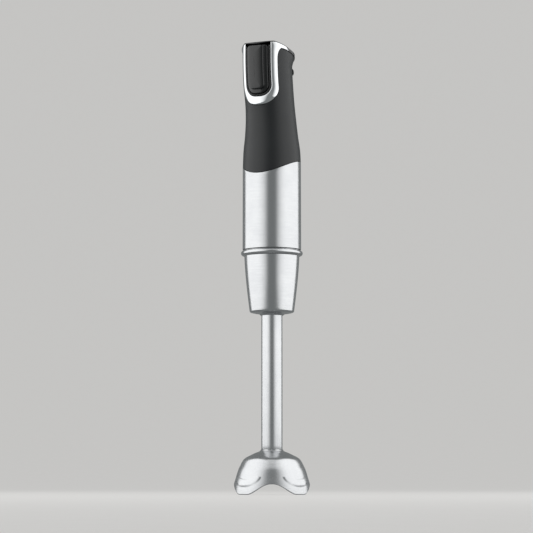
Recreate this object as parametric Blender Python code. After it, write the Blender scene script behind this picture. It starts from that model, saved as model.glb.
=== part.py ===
"""Immersion blender: a motor unit with a soft grip, and a metal foot that pulls off.

Sizes are in millimetres and become metres where a mesh is made.
Frame: +Z up, the foot's rim on Z = 0, the motor's axis on X = Y = 0, the trigger facing -Y.
Angles round the grip are counted in degrees from its front, positive towards +X.
"""
import math

import bmesh
import bpy
from mathutils import Matrix, Vector

MM = 0.001
GAP = 0.3                 # clearance between fitted pieces
SIDES = 24                # sides of the large round pieces
SIDES_SMALL = 16          # sides of shafts, bearings and bushes
SECTORS = 36              # sides of the fan, the coupling halves and the laminations

# Heights of the outside, from the rim up
BELL_HEIGHT = 39.3
TUBE_EXPOSED = 119.7
COLLAR_HEIGHT = 58.6
SLEEVE_LENGTH = 74.6      # from the bead to the mean height of the grip's hem
GRIP_LENGTH = 110.0
Z_COLLAR = BELL_HEIGHT + TUBE_EXPOSED
Z_SEAM = Z_COLLAR + COLLAR_HEIGHT
Z_HEM = Z_SEAM + SLEEVE_LENGTH
Z_TOP = Z_HEM + GRIP_LENGTH

# Foot
TUBE_R = 9.4
TUBE_WALL = 0.8
BELL_R = 35.4
BELL_WALL = 1.2
BELL_FREE = 0.39          # share of the height that the arches bend
BELL_TURN = 27.0          # how far the arches are turned from the trigger
ARCH_HEIGHT = 9.1
ARCHES = 4
LOBE_FLAT = 10.0          # half angle of the level stretch at the foot of each lobe
NECK_BORE = 7.6
COLLAR_R = 24.6
COLLAR_FOOT_R = 19.9
COLLAR_WALL = 1.2
BEAD_R = 27.6
BEAD_HEIGHT = 5.4

# Spigot and socket
SPIGOT_R = 19.5
SPIGOT_DEPTH = 24.6
SOCKET_WALL = 3.2
SNAP_HEIGHT = 6.5         # of the snap ring above the spigot's end
SNAP_WIRE = 1.4

# Shafts
SHAFT_R = 2.5
SHAFT_BORE = SHAFT_R + 0.4
ROTOR_SHAFT_R = 3.5
ROTOR_BORE = ROTOR_SHAFT_R + 0.4
DOG_R = 7.2
DOG_LENGTH = 5.4
DOG_PLATE = 4.6

# Motor
SLEEVE_R = 26.2
SLEEVE_WALL = 0.6
HOUSING_WALL = 1.8
STATOR_BORE = 12.1
STATOR_YOKE = 5.0
POLE_HALF = 45.0          # half angle of a pole face
CORE_R = 11.5
COMMUTATOR_R = 9.0
COMMUTATOR_LENGTH = 10.0
BRUSH_WIDTH = 5.4
BRUSH_HEIGHT = 6.4
SCREW_CIRCLE = 19.6       # radius of the stator screws' centres
SCREW_R = 1.25
BORE_TURN = Matrix.Rotation(math.radians(8), 4, "Z")    # keeps a bore's corners off its piece's edges
FRAME_SCREWS = (("front", -14.5), ("rear", 14.5))

# Grip
GRIP_WALL = 2.2
HEM_WAVE = 3.8            # the hem's two dips
HEM_TILT = 3.7            # the hem's one dip, at the front
CREST_Y = -24.5           # where the lid is highest
REAR_SLOPE = 0.344        # fall of the lid behind the crest
FRONT_DROP = 1.5          # fall of the lid in front of the crest
CAP_RIM = 3.0
CAP_LIP = 0.8             # the rim's height above the chrome
WING_END = 82.0
FLARE = 2.2               # how far the rear of the grip leans out under the lid
FLARE_DEPTH = 12.0        # height of that flare
FLARE_FULL = 112.0        # angle from which the flare is full
GLAND_Y = 1.0
GLAND_R = 5.0
CORD_BORE = 3.3

# Trigger and its chrome surround
OPENING_HALF = 12.6
OPENING_DROP = 49.3       # from the top to the opening's lower end
OPENING_CORNER = OPENING_HALF - 2.1
TRIM_WIDTH = 4.6
TRIM_BOTTOM = 7.1
TRIM_DEPTH = 2.0
TRIM_PROUD = 0.5
GASKET_WIDTH = 1.6
FACE_HALF = OPENING_HALF - 5.1
FACE_PROUD = 3.1
FACE_DROP_TOP = 4.2
FACE_DROP_BOTTOM = 43.0
TRIGGER_SKIN = 2.5
PIVOT_DROP = 43.0
PIVOT_Y = -19.5
LUG_INSET = 2.5            # the pivot lugs stand inside the trigger's side by this
LUG_WIDTH = 2.7
EAR_WIDTH = 2.0            # each ear of the handle frame, beside a lug
PIN_R = 1.5

# Thumb lock
LOCK_DROP = 24.5
LOCK_HALF = 2.7
LOCK_PROUD = 1.5
LOCK_ANGLE = 115.0        # where the bar ends, from the front
LOCK_TRAVEL = 1.2

# Heights inside, worked out from the outside
Z_FLANGE = Z_SEAM + 4.4
Z_SPIGOT = Z_SEAM - SPIGOT_DEPTH
Z_FAN = Z_FLANGE + 2.5
Z_SHOULDER = Z_FLANGE + 20.7
Z_STATOR = Z_SHOULDER + 3.3
Z_STEP = Z_HEM - 10.0
Z_STATOR_TOP = Z_STEP - 9.0
Z_COMMUTATOR = Z_STATOR_TOP + 9.5
Z_BRACKET = Z_COMMUTATOR + COMMUTATOR_LENGTH + 0.9
Z_FRAME = Z_BRACKET + 11.1
Z_PIVOT = Z_TOP - PIVOT_DROP
Z_LOCK = Z_TOP - LOCK_DROP
Z_DOG = Z_SPIGOT + 7.3    # underside of the drive dog's plate

# The grip's round cross-section at shares of its length: share, centre's offset to the front, radius
STATIONS = (
    (0.00, 0.0, 26.1),
    (0.13, 0.0, 25.5),
    (0.26, 0.7, 23.8),
    (0.39, 1.8, 22.65),
    (0.52, 3.9, 22.1),
    (0.66, 6.9, 22.3),
    (0.82, 8.6, 22.2),
    (1.00, 8.3, 22.5),
)

FINISHES = {
    "soft_grip": ((0.035, 0.040, 0.043), 0.75, 0.0),
    "black_gloss": ((0.006, 0.007, 0.008), 0.15, 0.0),
    "grey_rubber": ((0.030, 0.031, 0.033), 0.7, 0.0),
    "chrome": ((0.85, 0.86, 0.87), 0.06, 1.0),
    "satin_steel": ((0.62, 0.63, 0.64), 0.28, 1.0),
    "black_nylon": ((0.015, 0.015, 0.016), 0.55, 0.0),
    "grey_nylon": ((0.25, 0.25, 0.26), 0.5, 0.0),
    "lamination": ((0.30, 0.31, 0.33), 0.45, 1.0),
    "copper": ((0.72, 0.33, 0.16), 0.35, 1.0),
    "brass": ((0.75, 0.58, 0.27), 0.3, 1.0),
    "bronze": ((0.52, 0.36, 0.18), 0.4, 1.0),
    "carbon": ((0.03, 0.03, 0.03), 0.8, 0.0),
    "board": ((0.03, 0.20, 0.09), 0.5, 0.0),
    "aluminium": ((0.75, 0.76, 0.77), 0.35, 1.0),
    "capacitor_yellow": ((0.72, 0.50, 0.06), 0.4, 0.0),
    "bright_steel": ((0.70, 0.70, 0.71), 0.2, 1.0),
}


# ---------------------------------------------------------------- building blocks

def clear_scene():
    for item in list(bpy.data.objects):
        bpy.data.objects.remove(item, do_unlink=True)


def finish_material(finish):
    material = bpy.data.materials.get(finish)
    if material is None:
        colour, roughness, metallic = FINISHES[finish]
        material = bpy.data.materials.new(finish)
        material.use_nodes = True
        shader = material.node_tree.nodes["Principled BSDF"]
        shader.inputs["Base Color"].default_value = (*colour, 1.0)
        shader.inputs["Roughness"].default_value = roughness
        shader.inputs["Metallic"].default_value = metallic
    return material


def make(name, bm, finish):
    """Make a named object with its material from a bmesh."""
    bmesh.ops.remove_doubles(bm, verts=bm.verts, dist=0.001 * MM)
    bmesh.ops.recalc_face_normals(bm, faces=bm.faces)
    mesh = bpy.data.meshes.new(name)
    bm.to_mesh(mesh)
    bm.free()
    mesh.shade_smooth()
    mesh.set_sharp_from_angle(angle=math.radians(35))
    mesh.materials.append(finish_material(finish))
    item = bpy.data.objects.new(name, mesh)
    bpy.context.scene.collection.objects.link(item)
    return item


def skin_rings(rings, looped):
    """A grid of faces wrapped over closed rings of points."""
    around = len(rings[0])
    along = len(rings) if looped else len(rings) - 1
    bm = bmesh.new()
    bmesh.ops.create_grid(bm, x_segments=around, y_segments=along, size=0.5)
    for vert in bm.verts:
        i = round((vert.co.x + 0.5) * around) % around
        j = round((vert.co.y + 0.5) * along) % len(rings)
        vert.co = Vector(rings[j][i]) * MM
    bmesh.ops.remove_doubles(bm, verts=bm.verts, dist=0.001 * MM)
    return bm


def loft(name, rings, finish, looped=False):
    """Skin closed rings of points; looped joins the last ring to the first."""
    bm = skin_rings(rings, looped)
    if not looped:
        open_edges = [edge for edge in bm.edges if edge.is_boundary]
        bmesh.ops.holes_fill(bm, edges=open_edges)
    return make(name, bm, finish)


def turned(name, profile, finish, sides=SIDES):
    """Spin an (r, z) profile about Z; one that starts on the axis also ends there."""
    bm = bmesh.new()
    points = [bm.verts.new((r * MM, 0, z * MM)) for r, z in profile]
    edges = [bm.edges.new(pair) for pair in zip(points, points[1:])]
    if profile[0][0] > 0:
        edges.append(bm.edges.new((points[-1], points[0])))
    bmesh.ops.spin(
        bm, geom=points + edges, cent=(0, 0, 0), axis=(0, 0, 1),
        angle=math.tau, steps=sides, use_merge=True, use_duplicate=False)
    return make(name, bm, finish)


def tube(name, inner, outer, low, high, finish, sides=SIDES_SMALL):
    profile = ((outer, high), (outer, low), (inner, low), (inner, high))
    return turned(name, profile, finish, sides)


def rod(name, radius, low, high, finish, sides=SIDES_SMALL):
    profile = ((0, high), (radius, high), (radius, low), (0, low))
    return turned(name, profile, finish, sides)


def circle(radius, count=SIDES):
    steps = [math.tau * i / count for i in range(count)]
    return [(radius * math.cos(a), radius * math.sin(a)) for a in steps]


def prism(name, outline, low, high, finish, hole=None):
    """Extrude an outline from low to high; a hole has as many points as the outline."""
    bm = bmesh.new()
    outer = [bm.verts.new((x * MM, y * MM, low * MM)) for x, y in outline]
    if hole is None:
        bm.faces.new(outer)
    else:
        inner = [bm.verts.new((x * MM, y * MM, low * MM)) for x, y in hole]
        for i in range(len(outer)):
            bm.faces.new((outer[i - 1], outer[i], inner[i], inner[i - 1]))
    grown = bmesh.ops.extrude_face_region(bm, geom=bm.faces[:], use_keep_orig=True)
    tops = [item for item in grown["geom"] if isinstance(item, bmesh.types.BMVert)]
    bmesh.ops.translate(bm, verts=tops, vec=(0, 0, (high - low) * MM))
    return make(name, bm, finish)


def box(name, x_span, y_span, z_span, finish):
    spans = (x_span, y_span, z_span)
    centre = Vector([(low + high) / 2 for low, high in spans]) * MM
    size = [(high - low) * MM for low, high in spans]
    bm = bmesh.new()
    place = Matrix.Translation(centre) @ Matrix.Diagonal((*size, 1))
    bmesh.ops.create_cube(bm, size=1, matrix=place)
    return make(name, bm, finish)


def move(item, matrix):
    """Turn or shift a finished piece's mesh."""
    item.data.transform(matrix)
    return item


def along_y(item, x, y, z):
    """Lay a piece that was made along +Z down along +Y, from a starting point."""
    lay = Matrix.Translation(Vector((x, y, z)) * MM) @ Matrix.Rotation(math.radians(-90), 4, "X")
    return move(item, lay)


def along_x(item, x, y, z):
    lay = Matrix.Translation(Vector((x, y, z)) * MM) @ Matrix.Rotation(math.radians(90), 4, "Y")
    return move(item, lay)


def combine(item, tool, operation):
    """Add or subtract a hidden tool body."""
    tool.hide_render = True
    tool.display_type = "WIRE"
    step = item.modifiers.new(f"{operation.lower()} {tool.name}", "BOOLEAN")
    step.operation = operation
    step.solver = "EXACT"
    step.object = tool
    return item


def cut(item, tool):
    return combine(item, tool, "DIFFERENCE")


def fuse(item, tool):
    return combine(item, tool, "UNION")


def coil(name, start, end, radius, wire_r, turns, finish):
    """A compression spring lying along Y."""
    x, y_start, z = start
    length = end - y_start
    per_turn = 8
    count = turns * per_turn
    curve = bpy.data.curves.new(name, "CURVE")
    curve.dimensions = "3D"
    curve.bevel_depth = wire_r * MM
    curve.bevel_resolution = 0
    curve.use_fill_caps = True
    spline = curve.splines.new("POLY")
    spline.points.add(count)
    for i, point in enumerate(spline.points):
        turn = math.tau * i / per_turn
        y = y_start + wire_r + (length - 2 * wire_r) * i / count
        place = (x + radius * math.cos(turn), y, z + radius * math.sin(turn))
        point.co = (*(Vector(place) * MM), 1)
    curve.materials.append(finish_material(finish))
    item = bpy.data.objects.new(name, curve)
    bpy.context.scene.collection.objects.link(item)
    return item


def spring_curve(stations, at):
    """Read the stations' columns at one share, on a smooth curve through them."""
    last = len(stations) - 1
    i = max(k for k in range(last) if at >= stations[k][0] or k == 0)
    before, here = stations[max(i - 1, 0)], stations[i]
    there, after = stations[i + 1], stations[min(i + 2, last)]
    width = there[0] - here[0]
    t = min(max((at - here[0]) / width, 0.0), 1.0)
    values = []
    for column in range(1, len(here)):
        slope_here = (there[column] - before[column]) / (there[0] - before[0])
        slope_there = (after[column] - here[column]) / (after[0] - here[0])
        values.append(
            (2 * t**3 - 3 * t**2 + 1) * here[column]
            + (t**3 - 2 * t**2 + t) * width * slope_here
            + (3 * t**2 - 2 * t**3) * there[column]
            + (t**3 - t**2) * width * slope_there)
    return values


# ---------------------------------------------------------------- the grip's surface

def section(z):
    return spring_curve(STATIONS, (z - Z_HEM) / GRIP_LENGTH)


def smooth_step(share):
    share = min(max(share, 0.0), 1.0)
    return share * share * (3 - 2 * share)


def skin(angle, z, offset=0.0, square=False):
    """A point on the grip, offset outwards; square offsets straight along Y instead."""
    shift, radius = section(z)
    turn = math.radians(angle)
    if square:
        x = radius * math.sin(turn)
        y = -shift - radius * math.cos(turn) - offset / math.cos(turn)
        return (x, y, z)
    below_lid = lid_height(-shift - radius * math.cos(turn)) - z
    rearward = smooth_step((abs(angle) - WING_END) / (FLARE_FULL - WING_END))
    radius += offset + FLARE * rearward * smooth_step(1 - below_lid / FLARE_DEPTH)
    return (radius * math.sin(turn), -shift - radius * math.cos(turn), z)


def angle_of(x, z):
    """The angle round the grip at which its front has this X."""
    return math.degrees(math.asin(x / section(z)[1]))


def lid_height(y):
    ahead = max(0.0, CREST_Y - y)
    behind = max(0.0, y - CREST_Y)
    return Z_TOP - REAR_SLOPE * behind - FRONT_DROP * (ahead / 6.3) ** 2


def rim_point(angle, drop, offset=0.0):
    """A point of the grip's skin at a drop below the lid's surface."""
    z = Z_TOP
    for _ in range(4):
        x, y, _ = skin(angle, z, offset)
        z = lid_height(y)
    return (x, y, z - drop)


def hem_height(angle):
    turn = math.radians(angle)
    return Z_HEM - HEM_WAVE * math.cos(2 * turn) - HEM_TILT * math.cos(turn)


def wing_angles():
    """Angles along the wing's upper edge, from the leg's inner side to the tip."""
    leg = angle_of(OPENING_HALF, Z_TOP - 8)
    step = (WING_END - 3 - leg) / 7
    return [leg + step * i for i in range(8)]


def wing_low(angle):
    """Lower edge of the chrome wing: a quarter ellipse, then a gentle fall."""
    start = angle_of(OPENING_HALF + TRIM_WIDTH, Z_TOP - 16)
    corner = start + 10.5
    if angle < corner:
        share = max(0.0, (corner - angle) / (corner - start))
        return Z_TOP - 16 + 9.5 * math.sqrt(max(0.0, 1 - share**2))
    return Z_TOP - 6.5 - 1.2 * (angle - corner) / (WING_END - corner)


def u_corner(half, corner, bottom, degrees):
    """A point on the rounded lower corner of a U, from 0 at its foot to 90 on its leg."""
    turn = math.radians(degrees)
    x = half - corner + corner * math.sin(turn)
    z = bottom + corner - corner * math.cos(turn)
    return (x, z)


def mirror_rows(half_rows):
    """Rows from the middle out to +X, with their mirror images before them."""
    mirrored = [[(-x, y, z) for x, y, z in row] for row in reversed(half_rows[1:])]
    return mirrored + half_rows


# ---------------------------------------------------------------- grip, trim and trigger

def grip_sleeve():
    start = angle_of(OPENING_HALF + TRIM_WIDTH, Z_TOP - 16)
    fine = [start + step for step in (0, 1.5, 3.5, 6.5, 10.5)]
    half = [0, 13, 26, 38, *fine, 66, 73, WING_END, WING_END + 0.8, 95, 107, 119, 132, 145, 157, 169]
    angles = half + [180] + [-a for a in reversed(half[1:])]

    def top(angle, offset):
        x, y, rim = rim_point(angle, CAP_RIM + GAP, offset)
        if abs(angle) <= WING_END:
            return wing_low(abs(angle)) - 1.2 * GAP
        return rim

    def row(share, offset):
        points = []
        for angle in angles:
            low, high = hem_height(angle), top(angle, offset)
            z = low + (high - low) * share
            points.append(skin(angle, z, offset))
        return points

    shares = (0.0, 0.15, 0.30, 0.45, 0.60, 0.75, 0.87, 0.94, 1.0)
    rings = [row(share, 0.0) for share in shares]
    rings += [row(share, -GRIP_WALL) for share in (1.0, 0.87, 0.60, 0.30, 0.12, 0.0)]
    item = loft("grip_sleeve", rings, "soft_grip", looped=True)
    return cut(cut(item, opening_cutter()), lock_slot_cutter())


def opening_cutter():
    half = OPENING_HALF + TRIM_WIDTH + GAP
    bottom = Z_TOP - OPENING_DROP - TRIM_BOTTOM - GAP
    right = [u_corner(half, OPENING_CORNER + TRIM_WIDTH, bottom, d) for d in range(0, 91, 18)]
    right.append((half, Z_TOP + 20))
    outline = right + [(-x, z) for x, z in reversed(right)]
    tool = prism("opening_cutter", outline, 0, 50, "soft_grip")
    return move(tool, Matrix.Translation((0, -10 * MM, 0)) @ Matrix.Rotation(math.radians(90), 4, "X"))


def lock_slot_cutter():
    front = skin(LOCK_ANGLE, Z_LOCK, -GRIP_WALL)[1] - LOCK_TRAVEL - GAP
    height = LOCK_HALF + GAP
    return box("lock_slot_cutter", (-40, 40), (front, 60), (Z_LOCK - height, Z_LOCK + height), "soft_grip")


def trim_stations():
    """Inner and outer edge of the chrome strip, from its foot up to the wing's tip."""
    bottom_in = Z_TOP - OPENING_DROP
    bottom_out = bottom_in - TRIM_BOTTOM
    half_out = OPENING_HALF + TRIM_WIDTH
    corner_out = OPENING_CORNER + TRIM_WIDTH
    rows = [((0, bottom_in), (0, bottom_out))]
    for degrees in range(0, 91, 18):
        inner = u_corner(OPENING_HALF, OPENING_CORNER, bottom_in, degrees)
        rows.append((inner, u_corner(half_out, corner_out, bottom_out, degrees)))
    for drop in (30, 22):
        rows.append(((OPENING_HALF, Z_TOP - drop + 3), (half_out, Z_TOP - drop)))
    return [(angle_of(a[0], a[1]), a[1], angle_of(b[0], b[1]), b[1]) for a, b in rows]


def trigger_bezel():
    rows = []
    for angle_in, z_in, angle_out, z_out in trim_stations():
        rows.append([
            skin(angle_in, z_in, -TRIM_DEPTH, True), skin(angle_in, z_in, TRIM_PROUD, True),
            skin(angle_out, z_out, TRIM_PROUD), skin(angle_out, z_out, -TRIM_DEPTH)])
    start = angle_of(OPENING_HALF + TRIM_WIDTH, Z_TOP - 16)
    drop = CAP_LIP + GAP
    upper = wing_angles()
    corner = start + 10.5
    step = (WING_END - corner) / 5
    lower = (start + 3.5, start + 6.5, *[corner + step * i for i in range(6)])
    wing = [(upper[0], Z_TOP - 10, start), (upper[0], Z_TOP - 5, start + 1.5)]
    wing += [(above, None, below) for above, below in zip(upper, lower)]
    for angle_in, z_in, angle_out in wing:
        square = z_in is not None
        z_out = wing_low(angle_out)
        inner = []
        for offset in (-TRIM_DEPTH, TRIM_PROUD):
            height = rim_point(angle_in, drop, offset)[2] if z_in is None else z_in
            inner.append(skin(angle_in, height, offset, square))
        rows.append([
            inner[0], inner[1],
            skin(angle_out, z_out, TRIM_PROUD), skin(angle_out, z_out, -TRIM_DEPTH)])
    return loft("trigger_bezel", mirror_rows(rows), "chrome")


def trigger_gasket():
    bottom = Z_TOP - OPENING_DROP + GAP
    half = OPENING_HALF - GAP
    corner = OPENING_CORNER - GAP
    rows = [((0, bottom + GASKET_WIDTH), (0, bottom))]
    for degrees in range(0, 91, 18):
        inner = u_corner(half - GASKET_WIDTH, corner - GASKET_WIDTH, bottom + GASKET_WIDTH, degrees)
        rows.append((inner, u_corner(half, corner, bottom, degrees)))
    for drop in (22, 12, 4.0):
        rows.append(((half - GASKET_WIDTH, Z_TOP - drop), (half, Z_TOP - drop)))
    rings = []
    for (x_in, z_in), (x_out, z_out) in rows:
        inner, outer = angle_of(x_in, z_in), angle_of(x_out, z_out)
        rings.append([
            skin(inner, z_in, -1.8, True), skin(inner, z_in, 0.1, True),
            skin(outer, z_out, 0.1, True), skin(outer, z_out, -1.8, True)])
    return loft("trigger_gasket", mirror_rows(rings), "grey_rubber")


def base_half_width():
    return OPENING_HALF - 3 * GAP - GASKET_WIDTH


def lug_outside():
    """X of the outer face of the trigger's pivot lugs."""
    return base_half_width() - LUG_INSET


def trigger_back(z):
    """Y of the trigger's flat back at a height."""
    return skin(angle_of(base_half_width(), z), z, -TRIGGER_SKIN, True)[1]


def trigger_ring(inset, offset, raised):
    """One closed outline of the trigger: its base, or its raised face when raised is 1."""
    base_half = base_half_width()
    base_low = Z_TOP - OPENING_DROP + 3 * GAP + GASKET_WIDTH
    base_high = Z_TOP - FACE_DROP_TOP + 0.4
    base_corner = OPENING_CORNER - 2 * GAP - GASKET_WIDTH
    face = (FACE_HALF, Z_TOP - FACE_DROP_BOTTOM, Z_TOP - FACE_DROP_TOP, 3.0)
    base = (base_half, base_low, base_high, base_corner)
    half, low, high, corner = [b + (f - b) * raised for b, f in zip(base, face)]
    half, low, high = half - inset, low + inset, high - inset
    corner = max(corner - inset, 0.5)
    top_corner = max(1.2 - inset, 0.3)
    right = [(half - top_corner, high), (half - 0.3 * top_corner, high - 0.3 * top_corner)]
    steps = 3
    for i in range(steps + 1):
        z = high - top_corner + (low + corner - high + top_corner) * i / steps
        right.append((half, z))
    for degrees in (66, 44, 22, 0):
        right.append(u_corner(half, corner, low, degrees))
    outline = right + [(-x, z) for x, z in reversed(right)]
    return [skin(angle_of(x, z), z, offset, True) for x, z in outline]


def trigger():
    layers = (
        (0.0, -TRIGGER_SKIN, 0.0), (0.0, 0.2, 0.0), (0.5, 0.6, 0.0),
        (0.0, FACE_PROUD - 0.8, 1.0), (0.7, FACE_PROUD, 1.0))
    rings = [trigger_ring(*layer) for layer in layers]
    bm = skin_rings(rings, False)
    for ring in (rings[0], rings[-1]):
        ends = [nearest(bm, point) for point in ring]
        for i in range(len(ring) // 2 - 1):
            bm.faces.new((ends[i], ends[i + 1], ends[-2 - i], ends[-1 - i]))
    item = make("trigger", bm, "black_gloss")
    outside = lug_outside()
    inside = outside - LUG_WIDTH
    for side, x_span in (("left", (-outside, -inside)), ("right", (inside, outside))):
        lug = box(f"trigger_lug_{side}", x_span, (trigger_back(Z_PIVOT) - 1.2, PIVOT_Y + 3.2),
                  (Z_PIVOT - 3.2, Z_PIVOT + 3.2), "black_gloss")
        fuse(item, lug)
    return cut(item, pin_bore("trigger_pin_bore"))


def nearest(bm, point):
    goal = Vector(point) * MM
    return min(bm.verts, key=lambda vert: (vert.co - goal).length)


def pin_bore(name):
    tool = rod(name, PIN_R + GAP, -20, 20, "bright_steel", 12)
    return along_x(tool, 0, PIVOT_Y, Z_PIVOT)


def trigger_pivot_pin():
    reach = lug_outside() + EAR_WIDTH
    pin = rod("trigger_pivot_pin", PIN_R, -reach, reach, "bright_steel", 12)
    return along_x(pin, 0, PIVOT_Y, Z_PIVOT)


def top_cap():
    half = [0, 12, 24, *wing_angles(), WING_END, WING_END + 0.8, 95, 110, 125, 140, 155, 168]
    angles = half + [180] + [-a for a in reversed(half[1:])]
    centre = Vector((0, -4))

    def lip(angle):
        return CAP_LIP if abs(angle) <= WING_END else CAP_RIM

    def inner(angle, scale, drop):
        x, y, _ = rim_point(angle, 0)
        spot = centre + (Vector((x, y)) - centre) * scale
        return (spot.x, spot.y, lid_height(spot.y) - drop)

    rings = [
        [inner(a, 0.0, 0.0) for a in angles],
        [inner(a, 0.5, 0.0) for a in angles],
        [rim_point(a, 0.0, -0.9) for a in angles],
        [rim_point(a, 0.4) for a in angles],
        [rim_point(a, lip(a)) for a in angles],
        [rim_point(a, lip(a), -2.6) for a in angles],
        [inner(a, 0.56, 1.6) for a in angles],
        [inner(a, 0.55, 4.0) for a in angles],
        [inner(a, 0.0, 4.0) for a in angles],
    ]
    item = loft("top_cap", rings, "black_gloss")
    hole = rod("gland_hole", GLAND_R + GAP, Z_TOP - 30, Z_TOP + 20, "black_gloss")
    return cut(item, move(hole, Matrix.Translation((0, GLAND_Y * MM, 0))))


def cord_gland():
    low = lid_height(GLAND_Y) - 9.2
    face = lid_height(GLAND_Y) + 1.5
    profile = [(CORD_BORE, low), (GLAND_R + 2.4, low), (GLAND_R + 2.4, low + 2.0), (GLAND_R, low + 2.0)]
    for ring in range(2):
        height = face + 2.6 * ring
        radius = GLAND_R - 0.3 * ring
        profile += [(radius, height), (radius - 0.7, height + 0.5), (radius - 0.7, height + 1.4)]
    profile += [(CORD_BORE + 0.7, face + 5.6), (CORD_BORE, face + 5.6)]
    item = turned("cord_gland", profile, "black_nylon", SIDES_SMALL)
    return move(item, Matrix.Translation((0, GLAND_Y * MM, 0)))


def lock_button():
    """A curved bar round the rear of the grip, with two stems that point forwards."""
    steps = 12
    sweep = 360 - 2 * LOCK_ANGLE
    low, high = Z_LOCK - LOCK_HALF, Z_LOCK + LOCK_HALF
    rows = []
    for i in range(steps + 1):
        angle = LOCK_ANGLE + sweep * i / steps
        end = i in (0, steps)
        proud = LOCK_PROUD - (0.9 if end else 0.0)
        rows.append([
            skin(angle, low, -GRIP_WALL), skin(angle, low + 0.8, proud),
            skin(angle, high - 0.8, proud), skin(angle, high, -GRIP_WALL)])
    item = loft("lock_button", rows, "black_nylon")
    rear = skin(180, Z_LOCK, -GRIP_WALL)[1]
    stem = box("lock_stem", (-7, -3), (3.0, rear + 0.8), (Z_LOCK - 2, Z_LOCK + 2), "black_nylon")
    return fuse(item, stem)


# ---------------------------------------------------------------- motor unit

def steel_sleeve():
    angles = [360 * i / SIDES for i in range(SIDES)]

    def row(radius, at_hem):
        points = []
        for angle in angles:
            turn = math.radians(angle)
            z = hem_height(angle) - GAP if at_hem else Z_SEAM + GAP
            points.append((radius * math.sin(turn), -radius * math.cos(turn), z))
        return points

    top_r = STATIONS[0][2]
    rings = [
        row(SLEEVE_R, False), row(top_r, True),
        row(top_r - SLEEVE_WALL, True), row(SLEEVE_R - SLEEVE_WALL, False)]
    return loft("steel_sleeve", rings, "satin_steel", looped=True)


def housing_radius():
    return SLEEVE_R - SLEEVE_WALL - 2 * GAP


def neck_radius():
    return STATIONS[0][2] - GRIP_WALL - 2 * GAP


def motor_housing():
    outer, neck = housing_radius(), neck_radius()
    inner, neck_inner = outer - HOUSING_WALL, neck - 1.4
    low, high = Z_FLANGE + GAP, Z_BRACKET + 5
    ledge = SCREW_CIRCLE - SCREW_R - 0.6
    profile = (
        (outer, low), (outer, Z_STEP), (neck, Z_STEP + 1), (neck, high), (neck_inner, high),
        (neck_inner, Z_STEP - 0.5), (inner, Z_STEP - 1.5), (inner, Z_SHOULDER),
        (ledge, Z_SHOULDER), (ledge, Z_SHOULDER - 3.2), (inner, Z_SHOULDER - 5.5), (inner, low))
    item = turned("motor_housing", profile, "grey_nylon")
    for tool in stator_bores("housing"):
        cut(item, tool)
    return item


def stator_bores(label):
    tools = []
    for side, x in (("left", -SCREW_CIRCLE), ("right", SCREW_CIRCLE)):
        low, high = Z_SHOULDER - 10, Z_BRACKET + 10
        tool = rod(f"{label}_bore_{side}", SCREW_R + GAP, low, high, "bright_steel", 10)
        tools.append(move(tool, Matrix.Translation((x * MM, 0, 0)) @ BORE_TURN))
    return tools


def stator_screw(side, x):
    head = Z_BRACKET + 3.0 + GAP
    profile = (
        (0, head + 1.8), (2.2, head + 1.8), (2.2, head),
        (SCREW_R, head), (SCREW_R, Z_SHOULDER - 2.2), (0, Z_SHOULDER - 2.2))
    item = turned(f"stator_screw_{side}", profile, "bright_steel", 12)
    return move(item, Matrix.Translation((x * MM, 0, 0)))


def spigot():
    floor = Z_DOG + DOG_PLATE + GAP
    seat = floor + 2.0
    boss = seat + 7.0
    groove = Z_SPIGOT + SNAP_HEIGHT
    flange = housing_radius() - GAP
    profile = (
        (9.0, Z_SPIGOT), (SPIGOT_R - 0.8, Z_SPIGOT), (SPIGOT_R, Z_SPIGOT + 1.2), (SPIGOT_R, groove - 1),
        (SPIGOT_R - 1.2, groove - 1), (SPIGOT_R - 1.2, groove + 1), (SPIGOT_R, groove + 1),
        (SPIGOT_R, Z_SEAM + GAP), (flange, Z_SEAM + GAP), (flange, Z_FLANGE),
        (17.3, Z_FLANGE), (17.3, groove + 4), (11.8, groove + 4), (11.8, boss),
        (9.8, boss), (9.8, seat), (5.5, seat), (5.5, floor), (9.0, floor))
    return turned("spigot", profile, "black_nylon")


def snap_ring():
    """An open ring of round wire in the spigot's groove."""
    radius = SPIGOT_R - 0.1
    z = Z_SPIGOT + SNAP_HEIGHT
    rows = []
    steps = 20
    wire_sides = 5
    for i in range(steps + 1):
        turn = math.radians(15 + 330 * i / steps)
        ring = []
        for k in range(wire_sides):
            a = math.tau * k / wire_sides
            r = radius + SNAP_WIRE / 2 * math.cos(a)
            ring.append((r * math.cos(turn), r * math.sin(turn), z + SNAP_WIRE / 2 * math.sin(a)))
        rows.append(ring)
    return loft("snap_ring", rows, "bright_steel")


def stator_outline_inner():
    """The stator's bore: a pole face at the front and the rear, with coil slots between them."""
    points = []
    yoke_r = housing_radius() - HOUSING_WALL - 0.7 - STATOR_YOKE
    for i in range(SECTORS):
        turn = math.tau * i / SECTORS
        pole = abs(math.sin(turn)) > math.cos(math.radians(POLE_HALF))
        radius = STATOR_BORE if pole else yoke_r
        points.append((radius * math.cos(turn), radius * math.sin(turn)))
    return points


def stator_core():
    outer = circle(housing_radius() - HOUSING_WALL - 0.7, SECTORS)
    item = prism("stator_core", outer, Z_STATOR, Z_STATOR_TOP, "lamination", stator_outline_inner())
    for tool in stator_bores("stator"):
        cut(item, tool)
    return item


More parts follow.
